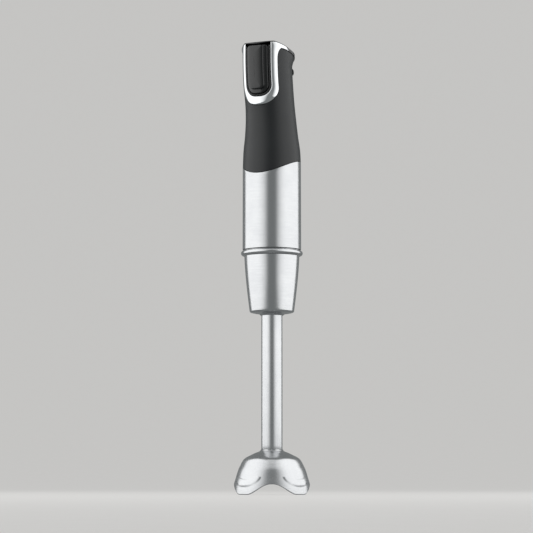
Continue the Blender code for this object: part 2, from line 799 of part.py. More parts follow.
def field_coil(end, heading):
    """A curved picture-frame winding round one pole."""
    inner_r, outer_r = STATOR_BORE + 0.6, STATOR_BORE + 5.2
    angles = (-78, -70, -62, -54, -36, -18, 0, 18, 36, 54, 62, 70, 78)     # the pole fills -54 to 54
    heights = (Z_STATOR - 6.5, Z_STATOR - GAP, Z_STATOR_TOP + GAP, Z_STATOR_TOP + 6.5)
    bm = bmesh.new()
    last_a, last_h = len(angles) - 1, len(heights) - 1
    bmesh.ops.create_grid(bm, x_segments=last_a, y_segments=last_h, size=0.5)
    window = []
    for face in bm.faces:
        middle = face.calc_center_median()
        column = (middle.x + 0.5) * last_a
        row = (middle.y + 0.5) * last_h
        if 1 < row < 2 and 3 < column < last_a - 3:
            window.append(face)
    bmesh.ops.delete(bm, geom=window, context="FACES")
    for vert in bm.verts:
        turn = math.radians(heading + angles[round((vert.co.x + 0.5) * last_a)])
        z = heights[round((vert.co.y + 0.5) * last_h)]
        vert.co = Vector((inner_r * math.cos(turn), inner_r * math.sin(turn), z)) * MM
    grown = bmesh.ops.extrude_face_region(bm, geom=bm.faces[:], use_keep_orig=True)
    for vert in grown["geom"]:
        if isinstance(vert, bmesh.types.BMVert):
            vert.co.x *= outer_r / inner_r
            vert.co.y *= outer_r / inner_r
    return make(f"field_coil_{end}", bm, "copper")


def stator_mount():
    outer = housing_radius() - HOUSING_WALL - GAP
    inner = SCREW_CIRCLE + SCREW_R + 2 * GAP
    return tube("stator_mount", inner, outer, Z_SHOULDER + GAP, Z_STATOR - GAP, "grey_rubber", SIDES)


def upper_bracket():
    plate = neck_radius() - 1.4 - GAP
    seat_r = 8.4
    top = Z_BRACKET + 3
    profile = (
        (5.0, Z_BRACKET), (plate, Z_BRACKET), (plate, top), (seat_r + 2, top),
        (seat_r + 2, top + 6.5), (seat_r, top + 6.5), (seat_r, top), (5.0, top))
    item = turned("upper_bracket", profile, "aluminium")
    for tool in stator_bores("bracket"):
        cut(item, tool)
    for end, y in FRAME_SCREWS:
        post = rod(f"bracket_post_{end}", 3.2, top - 1, Z_FRAME - GAP, "aluminium", 12)
        fuse(item, move(post, Matrix.Translation((0, y * MM, 0))))
        cut(item, frame_screw_bore(f"bracket_frame_bore_{end}", y))
    return item


def frame_screw_bore(name, y):
    tool = rod(name, SCREW_R + GAP, Z_BRACKET - 5, Z_FRAME + 10, "bright_steel", 10)
    return move(tool, Matrix.Translation((0, y * MM, 0)) @ BORE_TURN)


def frame_screw(end, y):
    head = Z_FRAME + 3 + GAP
    low = Z_BRACKET + 1
    profile = ((0, head + 1.8), (2.4, head + 1.8), (2.4, head), (SCREW_R, head), (SCREW_R, low), (0, low))
    item = turned(f"frame_screw_{end}", profile, "bright_steel", 12)
    return move(item, Matrix.Translation((0, y * MM, 0)))


def handle_frame():
    """Base plate, spine and two ears that carry the trigger's pin."""
    item = rod("handle_frame", 19, Z_FRAME, Z_FRAME + 3, "grey_nylon", SIDES)
    spine_top = Z_TOP - 11
    fuse(item, box("frame_spine", (-12, 12), (-9, -6.5), (Z_FRAME + 1, spine_top), "grey_nylon"))
    inside = lug_outside() + GAP
    outside = inside + EAR_WIDTH
    for side, x_span in (("left", (-outside, -inside)), ("right", (inside, outside))):
        ear = box(f"frame_ear_{side}", x_span, (PIVOT_Y - 3, -7.5), (Z_PIVOT - 4, Z_PIVOT + 4), "grey_nylon")
        fuse(item, ear)
    for end, y in FRAME_SCREWS:
        cut(item, frame_screw_bore(f"frame_bore_{end}", y))
    return cut(item, pin_bore("frame_pin_bore"))


def brush_gear(end, direction):
    """Holder, brush and spring on one side of the commutator."""
    start, stop = COMMUTATOR_R + 1.2, neck_radius() - 2.1
    middle = Z_COMMUTATOR + COMMUTATOR_LENGTH / 2 + 0.6
    wall = 1.0
    half_x, half_z = BRUSH_WIDTH / 2 + GAP, BRUSH_HEIGHT / 2 + GAP
    corners = ((-1, -1), (1, -1), (1, 1), (-1, 1))
    inner = [(i * half_x, j * half_z) for i, j in corners]
    outer = [(i * (half_x + wall), j * (half_z + wall)) for i, j in corners]
    holder = prism(f"brush_holder_{end}", outer, start, stop, "brass", inner)
    turn = 90 if direction < 0 else -90
    lay = Matrix.Translation((0, 0, middle * MM)) @ Matrix.Rotation(math.radians(turn), 4, "X")
    move(holder, lay)
    near, far = COMMUTATOR_R + GAP, COMMUTATOR_R + 6.5
    span = sorted((direction * near, direction * far))
    x_span = (-BRUSH_WIDTH / 2, BRUSH_WIDTH / 2)
    z_span = (middle - BRUSH_HEIGHT / 2, middle + BRUSH_HEIGHT / 2)
    brush = box(f"carbon_brush_{end}", x_span, span, z_span, "carbon")
    ends = sorted((direction * (far + GAP), direction * (stop - 0.4)))
    spring = coil(f"brush_spring_{end}", (0, ends[0], middle), ends[1], 1.9, 0.3, 3, "bright_steel")
    return [holder, brush, spring]


def switch_gear():
    """The trigger's switch and its plunger, and the lock's switch."""
    front = -19.5
    z = Z_PIVOT + 15
    body = box("trigger_switch", (-7, 7), (front, -9.3), (z - 10, z + 8), "black_nylon")
    bore = along_y(rod("plunger_bore", 2.3, -1, 5, "black_nylon", 12), 0, front, z)
    cut(body, bore)
    back = trigger_back(z) + 2 * GAP
    plunger = along_y(rod("switch_plunger", 2.0, 0, front + 2.6 - back, "grey_nylon", 12), 0, back, z)
    lock = box("lock_switch", (-9, -1), (-6.2, 0.8), (Z_LOCK - 5, Z_LOCK + 5), "black_nylon")
    return body, plunger, lock


def springs():
    z = Z_TOP - 15.5
    back = trigger_back(z) + 2 * GAP
    trigger_spring = coil("trigger_spring", (0, back, z), -9.3, 2.4, 0.35, 5, "bright_steel")
    rear = skin(180, Z_LOCK, -GRIP_WALL)[1]
    lock_spring = coil("lock_spring", (5, -6.2, Z_LOCK), rear - 2.4, 2.0, 0.3, 5, "bright_steel")
    return trigger_spring, lock_spring


def electronics():
    low = Z_FRAME + 7
    board = box("circuit_board", (-12, 12), (-6.2, -4.6), (low, Z_LOCK - 8), "board")
    can = rod("filter_capacitor", 6.0, low + 4, low + 22, "capacitor_yellow")
    move(can, Matrix.Translation((-5.5 * MM, 2.2 * MM, 0)))
    outline = [(2.5, -4.3), (11.5, -4.3)]
    for fin in range(4):
        right = 11.5 - 2.6 * fin
        outline += [(right, 7.0), (right - 1.2, 7.0), (right - 1.2, -2.8)]
        if fin < 3:
            outline.append((right - 2.6, -2.8))
    outline[-1] = (2.5, -2.8)
    sink = prism("triac_heat_sink", outline, low + 4, low + 26, "aluminium")
    return board, can, sink


# ---------------------------------------------------------------- rotor

def toothed_disc(name, bore, root, rim, low, high, tip, teeth, width, finish, turn=0.0):
    """A disc with sector-shaped teeth standing on one face, each width steps of 10 degrees wide."""
    bm = bmesh.new()
    radii = (bore, root, rim)
    rings = [[bm.verts.new((x * MM, y * MM, low * MM)) for x, y in circle(r, SECTORS)] for r in radii]
    sectors = []
    for inner, outer in zip(rings, rings[1:]):
        for i in range(SECTORS):
            after = (i + 1) % SECTORS
            sectors.append(bm.faces.new((inner[i], outer[i], outer[after], inner[after])))
    grown = bmesh.ops.extrude_face_region(bm, geom=sectors, use_keep_orig=True)["geom"]
    tops = [item for item in grown if isinstance(item, bmesh.types.BMVert)]
    bmesh.ops.translate(bm, verts=tops, vec=(0, 0, (high - low) * MM))
    face_z = high if tip > high else low
    spacing = SECTORS // teeth
    chosen = []
    for face in bm.faces:
        middle = face.calc_center_median()
        level = all(abs(vert.co.z - face_z * MM) < 0.01 * MM for vert in face.verts)
        radius = math.hypot(middle.x, middle.y) / MM
        step = int(math.degrees(math.atan2(middle.y, middle.x)) % 360 // 10)
        if level and radius > (root + bore) / 2 and math.hypot(middle.x, middle.y) > root * 0.98 * MM:
            if step % spacing < width:
                chosen.append(face)
    grown = bmesh.ops.extrude_face_region(bm, geom=chosen)["geom"]
    bmesh.ops.delete(bm, geom=[face for face in chosen if face.is_valid], context="FACES")
    tips = [item for item in grown if isinstance(item, bmesh.types.BMVert)]
    bmesh.ops.translate(bm, verts=tips, vec=(0, 0, (tip - face_z) * MM))
    item = make(name, bm, finish)
    return move(item, Matrix.Rotation(math.radians(turn), 4, "Z"))


def rotor():
    """Everything that spins inside the motor unit."""
    low = Z_STATOR - 7.5
    shaft = rod("armature_shaft", ROTOR_SHAFT_R, Z_DOG + 0.4, Z_BRACKET + 9.2, "bright_steel")
    notch = [CORE_R if i % 3 else CORE_R - 3 for i in range(SECTORS)]
    steps = [math.tau * i / SECTORS for i in range(SECTORS)]
    outline = [(r * math.cos(a), r * math.sin(a)) for r, a in zip(notch, steps)]
    core = prism("armature_core", outline, Z_STATOR, Z_STATOR_TOP, "lamination", circle(ROTOR_BORE, SECTORS))
    winding = []
    ends = (("lower", low, Z_STATOR - GAP), ("upper", Z_STATOR_TOP + GAP, Z_STATOR_TOP + 7.5))
    for end, start, stop in ends:
        outer, soft = CORE_R - 0.7, 1.5
        profile = (
            (ROTOR_BORE, start), (outer - soft, start), (outer, start + soft),
            (outer, stop - soft), (outer - soft, stop), (ROTOR_BORE, stop))
        winding.append(turned(f"armature_winding_{end}", profile, "copper", SIDES_SMALL))
    top = Z_COMMUTATOR + COMMUTATOR_LENGTH
    profile = (
        (ROTOR_BORE, Z_COMMUTATOR), (COMMUTATOR_R + 1, Z_COMMUTATOR), (COMMUTATOR_R + 1, Z_COMMUTATOR + 1.2),
        (COMMUTATOR_R, Z_COMMUTATOR + 1.4), (COMMUTATOR_R, top), (ROTOR_BORE, top))
    commutator = turned("commutator", profile, "copper", SIDES_SMALL)
    fan_r = housing_radius() - HOUSING_WALL - 2.5
    fan = toothed_disc(
        "fan", ROTOR_BORE, 7.5, fan_r, Z_FAN, Z_FAN + 1.5, Z_FAN + 10, 9, 1, "black_nylon")
    dog = toothed_disc(
        "drive_dog", ROTOR_BORE, ROTOR_BORE + 0.6, DOG_R, Z_DOG, Z_DOG + DOG_PLATE,
        Z_DOG - DOG_LENGTH, 3, 5, "black_nylon")
    return [shaft, core, *winding, commutator, fan, dog]


def bearings():
    seat = Z_DOG + DOG_PLATE + GAP + 2.0 + GAP
    lower = tube("bearing_lower", ROTOR_BORE, 9.5, seat, seat + 6.4, "bright_steel")
    top = Z_BRACKET + 3 + GAP
    upper = tube("bearing_upper", ROTOR_BORE, 8.1, top, top + 5, "bright_steel")
    return lower, upper


# ---------------------------------------------------------------- foot

def collar_outside():
    """The cone's outer side, from the tube's hole up to the bead's underside."""
    low, high = Z_COLLAR, Z_SEAM - BEAD_HEIGHT
    edge = low + 4.4
    points = [(TUBE_R + GAP, low), (COLLAR_FOOT_R - 3.4, low + 0.8), (COLLAR_FOOT_R - 1.0, low + 2.2),
              (COLLAR_FOOT_R, edge)]
    steps = 4
    for i in range(1, steps + 1):
        share = i / steps
        rise = math.sin(share * math.pi / 2)
        radius = COLLAR_FOOT_R + (COLLAR_R - COLLAR_FOOT_R) * (0.55 * rise + 0.45 * share)
        points.append((radius, edge + (high - 1.5 - edge) * share))
    return points


def foot_collar():
    outside = collar_outside()
    middle = Z_SEAM - BEAD_HEIGHT / 2
    root = COLLAR_R
    bead = []
    for degrees in (-55, 0, 55):
        turn = math.radians(degrees)
        bead.append((
            root + (BEAD_R - root) * math.cos(turn) ** 0.7,
            middle + BEAD_HEIGHT / 2 * math.sin(turn)))
    inside = [(r - COLLAR_WALL, z + 0.5) for r, z in (outside[3], outside[5], outside[7])]
    rim = [(BEAD_R - 2.0, Z_SEAM), (COLLAR_R - COLLAR_WALL, Z_SEAM)]
    floor = [(COLLAR_FOOT_R - 2.4, Z_COLLAR + 3.2), (COLLAR_FOOT_R - 4.2, Z_COLLAR + 2.2),
             (TUBE_R + GAP, Z_COLLAR + 1.4)]
    profile = outside + bead + rim + list(reversed(inside)) + floor
    return turned("foot_collar", profile, "satin_steel")


def collar_inner_radius(z):
    """The cone's inner radius at a height."""
    points = collar_outside()[3:]
    for (r0, z0), (r1, z1) in zip(points, points[1:]):
        if z <= z1:
            share = max(0.0, (z - z0) / (z1 - z0))
            return r0 + (r1 - r0) * share - COLLAR_WALL
    return points[-1][0] - COLLAR_WALL


def collar_insert():
    """The foot's socket, with a hub that reaches down into the tube."""
    floor = Z_SPIGOT - 3.9
    bore = SPIGOT_R + GAP
    groove = Z_SPIGOT + SNAP_HEIGHT
    hub = TUBE_R - TUBE_WALL - GAP
    top = Z_SEAM - 1.0
    outer = [(collar_inner_radius(z - 1.2) - 2 * GAP, z) for z in (floor - 3, floor + 8, groove + 4)]
    outer.append((collar_inner_radius(Z_SEAM) - GAP, top))
    profile = [
        (hub, floor - 3), *outer, (bore, top), (bore, groove + 1.2), (bore + 1.0, groove + 1.2),
        (bore + 1.0, groove - 1.2), (bore, groove - 1.2), (bore, floor), (5.6, floor),
        (5.6, floor - 23), (hub, floor - 23)]
    return turned("collar_insert", profile, "black_nylon")


def foot_tube():
    high = Z_SPIGOT - 3.9 - 3 - 3
    return tube("foot_tube", TUBE_R - TUBE_WALL, TUBE_R, BELL_HEIGHT + GAP, high, "satin_steel", SIDES)


def bell_profile():
    """The bell's outer side, from the tube down to the rim, as shares of its radius and height."""
    shape = (
        (0.280, 1.000), (0.316, 0.972), (0.412, 0.939), (0.633, 0.842), (0.701, 0.796),
        (0.746, 0.738), (0.847, 0.555), (0.910, 0.392), (0.972, 0.214), (1.000, 0.000))
    return [(r * BELL_R, z * BELL_HEIGHT) for r, z in shape]


def rim_height(angle):
    """Height of the bell's rim: level at the lobes, a smooth arch between them."""
    half = 180 / ARCHES
    away = abs((angle % (2 * half)) - half)      # from the nearest lobe's middle
    share = max(0.0, (away - LOBE_FLAT) / (half - LOBE_FLAT))
    return ARCH_HEIGHT * (1 - math.cos(math.pi * share)) / 2


def bell_guard():
    """Angles count from an arch that is turned BELL_TURN from the front."""
    outside = bell_profile()
    count = 32
    angles = [360 * i / count for i in range(count)]
    free = BELL_FREE * BELL_HEIGHT

    def place(radius, z, angle):
        turn = math.radians(angle + BELL_TURN)
        return (radius * math.sin(turn), -radius * math.cos(turn), z)

    def row(radius, z, inset, lift):
        points = []
        for angle in angles:
            share = max(0.0, 1 - z / free)
            height = z + rim_height(angle) * share
            points.append(place(profile_radius(outside, height) - inset, height + lift, angle))
        return points

    rings = [row(r, z, 0.0, 0.0) for r, z in outside]
    inside = list(reversed(outside[1:]))
    bent = 0.66 * BELL_HEIGHT
    rings += [row(r, z, BELL_WALL, 0.0) for r, z in inside if z < bent]
    for r, z in [point for point in inside if point[1] >= bent]:
        rings.append([place(r - 0.7, z - 0.95, a) for a in angles])
    rings.append([place(NECK_BORE, BELL_HEIGHT - 1.5, a) for a in angles])
    rings.append([place(NECK_BORE, BELL_HEIGHT, a) for a in angles])
    return loft("bell_guard", rings, "satin_steel", looped=True)


def profile_radius(profile, z):
    """Radius of a falling (r, z) profile at a height."""
    for (r0, z0), (r1, z1) in zip(profile, profile[1:]):
        if z >= z1:
            return r0 + (r1 - r0) * (z0 - z) / (z0 - z1)
    return profile[-1][0]


def bell_hub():
    stem = NECK_BORE - GAP
    low = BELL_HEIGHT - 19
    profile = (
        (5.5, low), (8.3, low), (8.3, low + 10), (12.0, low + 11), (12.0, low + 12.6),
        (stem, low + 13.6), (stem, low + 26), (5.5, low + 26))
    return turned("bell_hub", profile, "black_nylon", SIDES_SMALL)


def foot_bearings():
    low = BELL_HEIGHT - 19
    seal = tube("foot_seal", SHAFT_BORE, 5.2, low + 0.4, low + 3.6, "grey_rubber")
    lower = tube("lower_bush", SHAFT_BORE, 5.2, low + 5, low + 24, "bronze")
    middle_z = BELL_HEIGHT + TUBE_EXPOSED / 2
    middle = tube("middle_guide", SHAFT_BORE, TUBE_R - TUBE_WALL - GAP, middle_z, middle_z + 5, "grey_nylon")
    top = Z_SPIGOT - 3.9
    upper = tube("upper_bush", SHAFT_BORE, 5.3, top - 21, top - 3, "bronze")
    return seal, lower, middle, upper


def blade():
    """An octagonal hub with four wings, two bent up and two bent down."""
    low = BELL_HEIGHT - 23.6
    thick = 1.3
    hub = 9.0
    bm = bmesh.new()
    steps = [math.tau * (i + 0.5) / 8 for i in range(8)]
    inner = [bm.verts.new((3.1 * math.cos(a) * MM, 3.1 * math.sin(a) * MM, low * MM)) for a in steps]
    outer = [bm.verts.new((hub * math.cos(a) * MM, hub * math.sin(a) * MM, low * MM)) for a in steps]
    for i in range(8):
        bm.faces.new((inner[i - 1], outer[i - 1], outer[i], inner[i]))
    grown = bmesh.ops.extrude_face_region(bm, geom=bm.faces[:], use_keep_orig=True)["geom"]
    tops = [item for item in grown if isinstance(item, bmesh.types.BMVert)]
    bmesh.ops.translate(bm, verts=tops, vec=(0, 0, thick * MM))
    for quarter in range(4):
        heading = Vector((math.cos(quarter * math.pi / 2), math.sin(quarter * math.pi / 2), 0))
        bend = 3.6 if quarter % 2 else -3.6
        wing = max(bm.faces, key=lambda face: face.calc_center_median().dot(heading))
        for reach, rise, narrow in ((4.5, 0.0, 1.0), (9.0, bend, 0.62)):
            grown = bmesh.ops.extrude_discrete_faces(bm, faces=[wing])
            wing = grown["faces"][0]
            side = Vector((-heading.y, heading.x, 0))
            for vert in wing.verts:
                vert.co -= side * vert.co.dot(side) * (1 - narrow)
                vert.co += (heading * reach + Vector((0, 0, rise))) * MM
    return make("blade", bm, "bright_steel")


def blade_nut():
    low = BELL_HEIGHT - 27.6
    across = 4.6
    outline = []
    for i in range(12):
        radius = across if i % 2 == 0 else across * math.cos(math.pi / 6)
        outline.append((radius * math.cos(math.tau * i / 12), radius * math.sin(math.tau * i / 12)))
    return prism("blade_nut", outline, low, low + 3.7, "bright_steel", circle(SHAFT_BORE, 12))


def driven_line():
    """The shaft in the foot and the coupling on its upper end."""
    plate = Z_SPIGOT - 3.9 + GAP
    face = plate + 4.6
    tip = Z_DOG - GAP
    shaft = rod("drive_shaft", SHAFT_R, BELL_HEIGHT - 26.5, face - 0.4, "bright_steel")
    coupling = toothed_disc(
        "driven_coupling", SHAFT_BORE, ROTOR_BORE + 0.6, DOG_R, plate, face, tip, 3, 5, "black_nylon", 66)
    return [shaft, coupling]


# ---------------------------------------------------------------- assembly

def hang_on(name, place, pieces):
    """Parent pieces to an empty that stands on their joint's axis."""
    axis = bpy.data.objects.new(name, None)
    axis.location = Vector(place) * MM
    bpy.context.scene.collection.objects.link(axis)
    for piece in pieces:
        piece.parent = axis
        piece.matrix_parent_inverse = Matrix.Translation(-axis.location)
    return axis


def main():
    clear_scene()
    grip_sleeve()
    top_cap()
    cord_gland()
    trigger_bezel()
    trigger_gasket()
    steel_sleeve()
    motor_housing()
    spigot()
    snap_ring()
    stator_core()
    field_coil("front", 270)
    field_coil("rear", 90)
    stator_mount()
    upper_bracket()
    handle_frame()
    trigger_pivot_pin()
    for side, x in (("left", -SCREW_CIRCLE), ("right", SCREW_CIRCLE)):
        stator_screw(side, x)
    for end, y in FRAME_SCREWS:
        frame_screw(end, y)
    brush_gear("front", -1)
    brush_gear("rear", 1)
    bearings()
    electronics()
    springs()
    _, plunger, _ = switch_gear()
    hang_on("trigger_axis", (0, PIVOT_Y, Z_PIVOT), [trigger()])
    hang_on("plunger_axis", (0, -19.5, Z_PIVOT + 15), [plunger])
    hang_on("lock_axis", (0, 0, Z_LOCK), [lock_button()])
    hang_on("rotor_axis", (0, 0, Z_STATOR), rotor())
    foot = [foot_collar(), collar_insert(), foot_tube(), bell_guard(), bell_hub(), *foot_bearings()]
    foot_axis = hang_on("foot_axis", (0, 0, Z_SEAM), foot)
    blade_axis = hang_on("blade_axis", (0, 0, 0), [*driven_line(), blade(), blade_nut()])
    blade_axis.parent = foot_axis
    blade_axis.matrix_parent_inverse = Matrix.Translation(-foot_axis.location)


if __name__ == "__main__":
    main()
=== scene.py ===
"""Immersion blender: fine surfaces and finishes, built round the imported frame.

Sizes are in millimetres and become metres where a mesh is made. Z is up, the foot's rim stands on
Z = 0 and the trigger faces -Y. Angles round the grip are in degrees from its front, towards +X.
"""

import logging
import math
from dataclasses import dataclass
from enum import Enum
from typing import Callable, Iterable, Optional, Sequence

import bmesh
import bpy
from mathutils import Matrix, Vector


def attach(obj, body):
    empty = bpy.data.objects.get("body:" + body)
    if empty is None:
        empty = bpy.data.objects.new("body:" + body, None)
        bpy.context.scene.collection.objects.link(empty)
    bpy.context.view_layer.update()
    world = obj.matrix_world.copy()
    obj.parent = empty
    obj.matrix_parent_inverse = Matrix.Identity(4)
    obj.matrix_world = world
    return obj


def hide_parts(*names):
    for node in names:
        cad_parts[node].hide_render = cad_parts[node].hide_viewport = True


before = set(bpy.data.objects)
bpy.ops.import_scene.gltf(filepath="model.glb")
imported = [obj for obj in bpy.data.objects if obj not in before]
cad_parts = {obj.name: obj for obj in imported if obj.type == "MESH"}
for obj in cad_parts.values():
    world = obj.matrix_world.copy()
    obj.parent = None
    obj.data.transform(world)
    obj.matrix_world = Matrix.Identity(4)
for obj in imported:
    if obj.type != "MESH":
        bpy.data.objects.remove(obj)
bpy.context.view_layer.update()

LOG = logging.getLogger("immersion_blender")
MM = 0.001
GAP = 0.3

Point = tuple[float, float, float]
Profile = Sequence[tuple[float, float]]


# ---------------------------------------------------------------- meshes

def wrap(rings: Sequence[Sequence[Point]], looped: bool = False) -> bmesh.types.BMesh:
    """Bend a flat grid round closed rings of points.

    Args:
        rings: equally long rings, in millimetres.
        looped: joins the last ring to the first, as for a wall with two sides; else both ends are closed.

    Returns:
        A closed bmesh in metres.
    """
    around = len(rings[0])
    along = len(rings) if looped else len(rings) - 1
    bm = bmesh.new()
    bmesh.ops.create_grid(bm, x_segments=around, y_segments=along, size=0.5)
    for vert in bm.verts:
        i = round((vert.co.x + 0.5) * around) % around
        j = round((vert.co.y + 0.5) * along) % len(rings)
        vert.co = Vector(rings[j][i]) * MM
    bmesh.ops.remove_doubles(bm, verts=bm.verts, dist=0.0005 * MM)
    if not looped:
        bmesh.ops.holes_fill(bm, edges=[edge for edge in bm.edges if edge.is_boundary])
    return bm


def spin(profile: Profile, steps: int = 128) -> bmesh.types.BMesh:
    """Turn an (r, z) profile about Z.

    Args:
        profile: points in millimetres. One that starts off the axis is closed into a ring.
        steps: sides of the turned form.

    Returns:
        A closed bmesh in metres.
    """
    bm = bmesh.new()
    points = [bm.verts.new((r * MM, 0, z * MM)) for r, z in profile]
    edges = [bm.edges.new(pair) for pair in zip(points, points[1:])]
    if profile[0][0] > 0:
        edges.append(bm.edges.new((points[-1], points[0])))
    bmesh.ops.spin(
        bm, geom=points + edges, cent=(0, 0, 0), axis=(0, 0, 1), angle=math.tau, steps=steps,
        use_merge=True, use_duplicate=False)
    bmesh.ops.remove_doubles(bm, verts=bm.verts, dist=0.0005 * MM)
    return bm


def ring_in(bm: bmesh.types.BMesh, faces: Sequence, width: float) -> None:
    """Inset a ring of faces, measured in millimetres from the outline."""
    bmesh.ops.inset_region(bm, faces=faces, thickness=width * MM, use_boundary=True, use_even_offset=True)


def soften(bm: bmesh.types.BMesh, degrees: float, offset: float, segments: int) -> None:
    """Round every edge that turns by more than an angle.

    Args:
        bm: the mesh, with its faces pointing outwards.
        degrees: the angle past which an edge is rounded.
        offset: how far the rounding reaches, in millimetres.
        segments: faces across it.
    """
    limit = math.radians(degrees)
    crisp = [edge for edge in bm.edges if edge.is_manifold and edge.calc_face_angle() > limit]
    bmesh.ops.bevel(
        bm, geom=crisp, offset=offset * MM, segments=segments, profile=0.5, affect="EDGES", material=-1,
        clamp_overlap=True)


def rounded(points: Profile, radius: float, steps: int = 3) -> list[tuple[float, float]]:
    """Round the corners of a closed profile.

    Args:
        points: the profile's corners.
        radius: how far each corner is cut back, at most 45% of its shorter side.
        steps: stretches in each rounded corner.

    Returns:
        The profile with an arc of points in place of each corner.
    """
    out: list[tuple[float, float]] = []
    count = len(points)
    for i in range(count):
        before, here, after = (Vector(points[(i + k) % count]) for k in (-1, 0, 1))
        back, ahead = before - here, after - here
        reach = min(radius, 0.45 * back.length, 0.45 * ahead.length)
        start, end = here + back.normalized() * reach, here + ahead.normalized() * reach
        for k in range(steps + 1):
            t = k / steps
            spot = start * (1 - t) ** 2 + here * 2 * t * (1 - t) + end * t**2
            out.append((spot.x, spot.y))
    return out


def smooth_step(share: float) -> float:
    """Rise from 0 to 1 with level ends."""
    share = min(max(share, 0.0), 1.0)
    return share * share * (3 - 2 * share)


def spread(start: float, end: float, count: int) -> list[float]:
    """Evenly spaced values, both ends included."""
    return [start + (end - start) * i / count for i in range(count + 1)]


def hermite(stations: Sequence[Sequence[float]], at: float) -> list[float]:
    """Read columns of stations at one share, on a smooth curve through them.

    Args:
        stations: rows that start with their share.
        at: the share to read.

    Returns:
        One value for each column after the share.
    """
    last = len(stations) - 1
    i = max(k for k in range(last) if at >= stations[k][0] or k == 0)
    before, here = stations[max(i - 1, 0)], stations[i]
    there, after = stations[i + 1], stations[min(i + 2, last)]
    width = there[0] - here[0]
    t = min(max((at - here[0]) / width, 0.0), 1.0)
    values = []
    for column in range(1, len(here)):
        leave = (there[column] - before[column]) / (there[0] - before[0])
        arrive = (after[column] - here[column]) / (after[0] - here[0])
        values.append(
            (2 * t**3 - 3 * t**2 + 1) * here[column] + (t**3 - 2 * t**2 + t) * width * leave
            + (3 * t**2 - 2 * t**3) * there[column] + (t**3 - t**2) * width * arrive)
    return values


# ---------------------------------------------------------------- finishes

def linear(hex_colour: str) -> tuple[float, float, float, float]:
    """An sRGB hex colour in the linear values that the shader takes."""
    parts = [int(hex_colour[i:i + 2], 16) / 255 for i in (1, 3, 5)]
    return (*[c / 12.92 if c <= 0.04045 else ((c + 0.055) / 1.055) ** 2.4 for c in parts], 1.0)


def add_node(tree: bpy.types.NodeTree, kind: str, links: Optional[dict] = None, **settings) -> bpy.types.Node:
    """Add a node with its settings and links.

    Args:
        tree: the material's node tree.
        kind: the node's type name.
        links: input name or number to the output that feeds it, or to its value.
        settings: properties of the node itself.

    Returns:
        The new node.
    """
    node = tree.nodes.new(kind)
    for name, value in settings.items():
        setattr(node, name, value)
    for key, value in (links or {}).items():
        if isinstance(value, bpy.types.NodeSocket):
            tree.links.new(value, node.inputs[key])
        else:
            node.inputs[key].default_value = value
    return node


class Grain(Enum):
    """Which way a finish's marks run."""

    AROUND = (0.03, 0.03, 1.0)
    ALONG = (1.0, 1.0, 0.03)
    EVEN = (1.0, 1.0, 1.0)


@dataclass(frozen=True)
class Finish:
    """One real material and how its surface was made.

    pitch is the spacing of its marks in millimetres, depth the bump's height in millimetres,
    shade how far the colour swings, rough_swing how far the roughness does.
    """

    name: str
    colour: str
    second: str
    roughness: float
    rough_swing: float
    pitch: float
    depth: float
    grain: Grain = Grain.EVEN
    metallic: float = 0.0
    ior: float = 1.5
    coat: float = 0.0
    patch: float = 18.0

    def material(self) -> bpy.types.Material:
        """Build the finish's node material, once."""
        found = bpy.data.materials.get(self.name)
        if found is not None:
            return found
        made = bpy.data.materials.new(self.name)
        made.use_nodes = True
        tree = made.node_tree
        shader = tree.nodes["Principled BSDF"]
        shader.inputs["Metallic"].default_value = self.metallic
        if not self.metallic:
            shader.inputs["IOR"].default_value = self.ior
        shader.inputs["Coat Weight"].default_value = self.coat
        shader.inputs["Coat Roughness"].default_value = 0.06
        place = add_node(tree, "ShaderNodeTexCoord").outputs["Object"]
        fine = self.marks(tree, place)
        cloud = add_node(tree, "ShaderNodeTexNoise", {
            "Vector": place, "Scale": 1 / (self.patch * MM), "Detail": 3.0, "Roughness": 0.55})
        mixed = add_node(tree, "ShaderNodeMath", {0: fine, 1: cloud.outputs[0]}, operation="ADD")
        share = add_node(tree, "ShaderNodeMapRange", {
            "Value": mixed.outputs[0], "From Min": 0.7, "From Max": 1.3, "To Min": 0.0, "To Max": 1.0})
        blend = add_node(tree, "ShaderNodeMix", {
            "Factor": share.outputs[0], 6: linear(self.colour), 7: linear(self.second)}, data_type="RGBA")
        tree.links.new(blend.outputs[2], shader.inputs["Base Color"])
        rough = add_node(tree, "ShaderNodeMapRange", {
            "Value": mixed.outputs[0], "From Min": 0.7, "From Max": 1.3,
            "To Min": self.roughness - self.rough_swing, "To Max": self.roughness + self.rough_swing})
        tree.links.new(rough.outputs[0], shader.inputs["Roughness"])
        bump = add_node(tree, "ShaderNodeBump", {
            "Strength": 1.0, "Distance": self.depth * MM, "Height": fine})
        tree.links.new(bump.outputs[0], shader.inputs["Normal"])
        return made

    def marks(self, tree: bpy.types.NodeTree, place: bpy.types.NodeSocket) -> bpy.types.NodeSocket:
        """Noise at the finish's pitch, drawn out the way its grain runs."""
        stretch = add_node(tree, "ShaderNodeMapping", {"Vector": place, "Scale": self.grain.value})
        noise = add_node(tree, "ShaderNodeTexNoise", {
            "Vector": stretch.outputs[0], "Scale": 1 / (self.pitch * MM), "Detail": 2.0, "Roughness": 0.6})
        return noise.outputs[0]


@dataclass(frozen=True)
class Banded(Finish):
    """A finish of regular bands along Z, such as wire turns or stacked sheets."""

    def marks(self, tree: bpy.types.NodeTree, place: bpy.types.NodeSocket) -> bpy.types.NodeSocket:
        """Bands at the finish's pitch, slightly uneven."""
        bands = add_node(tree, "ShaderNodeTexWave", {
            "Vector": place, "Scale": 0.5 / (self.pitch * MM),
            "Distortion": 0.6, "Detail": 1.0}, wave_type="BANDS", bands_direction="Z")
        return bands.outputs["Fac"]


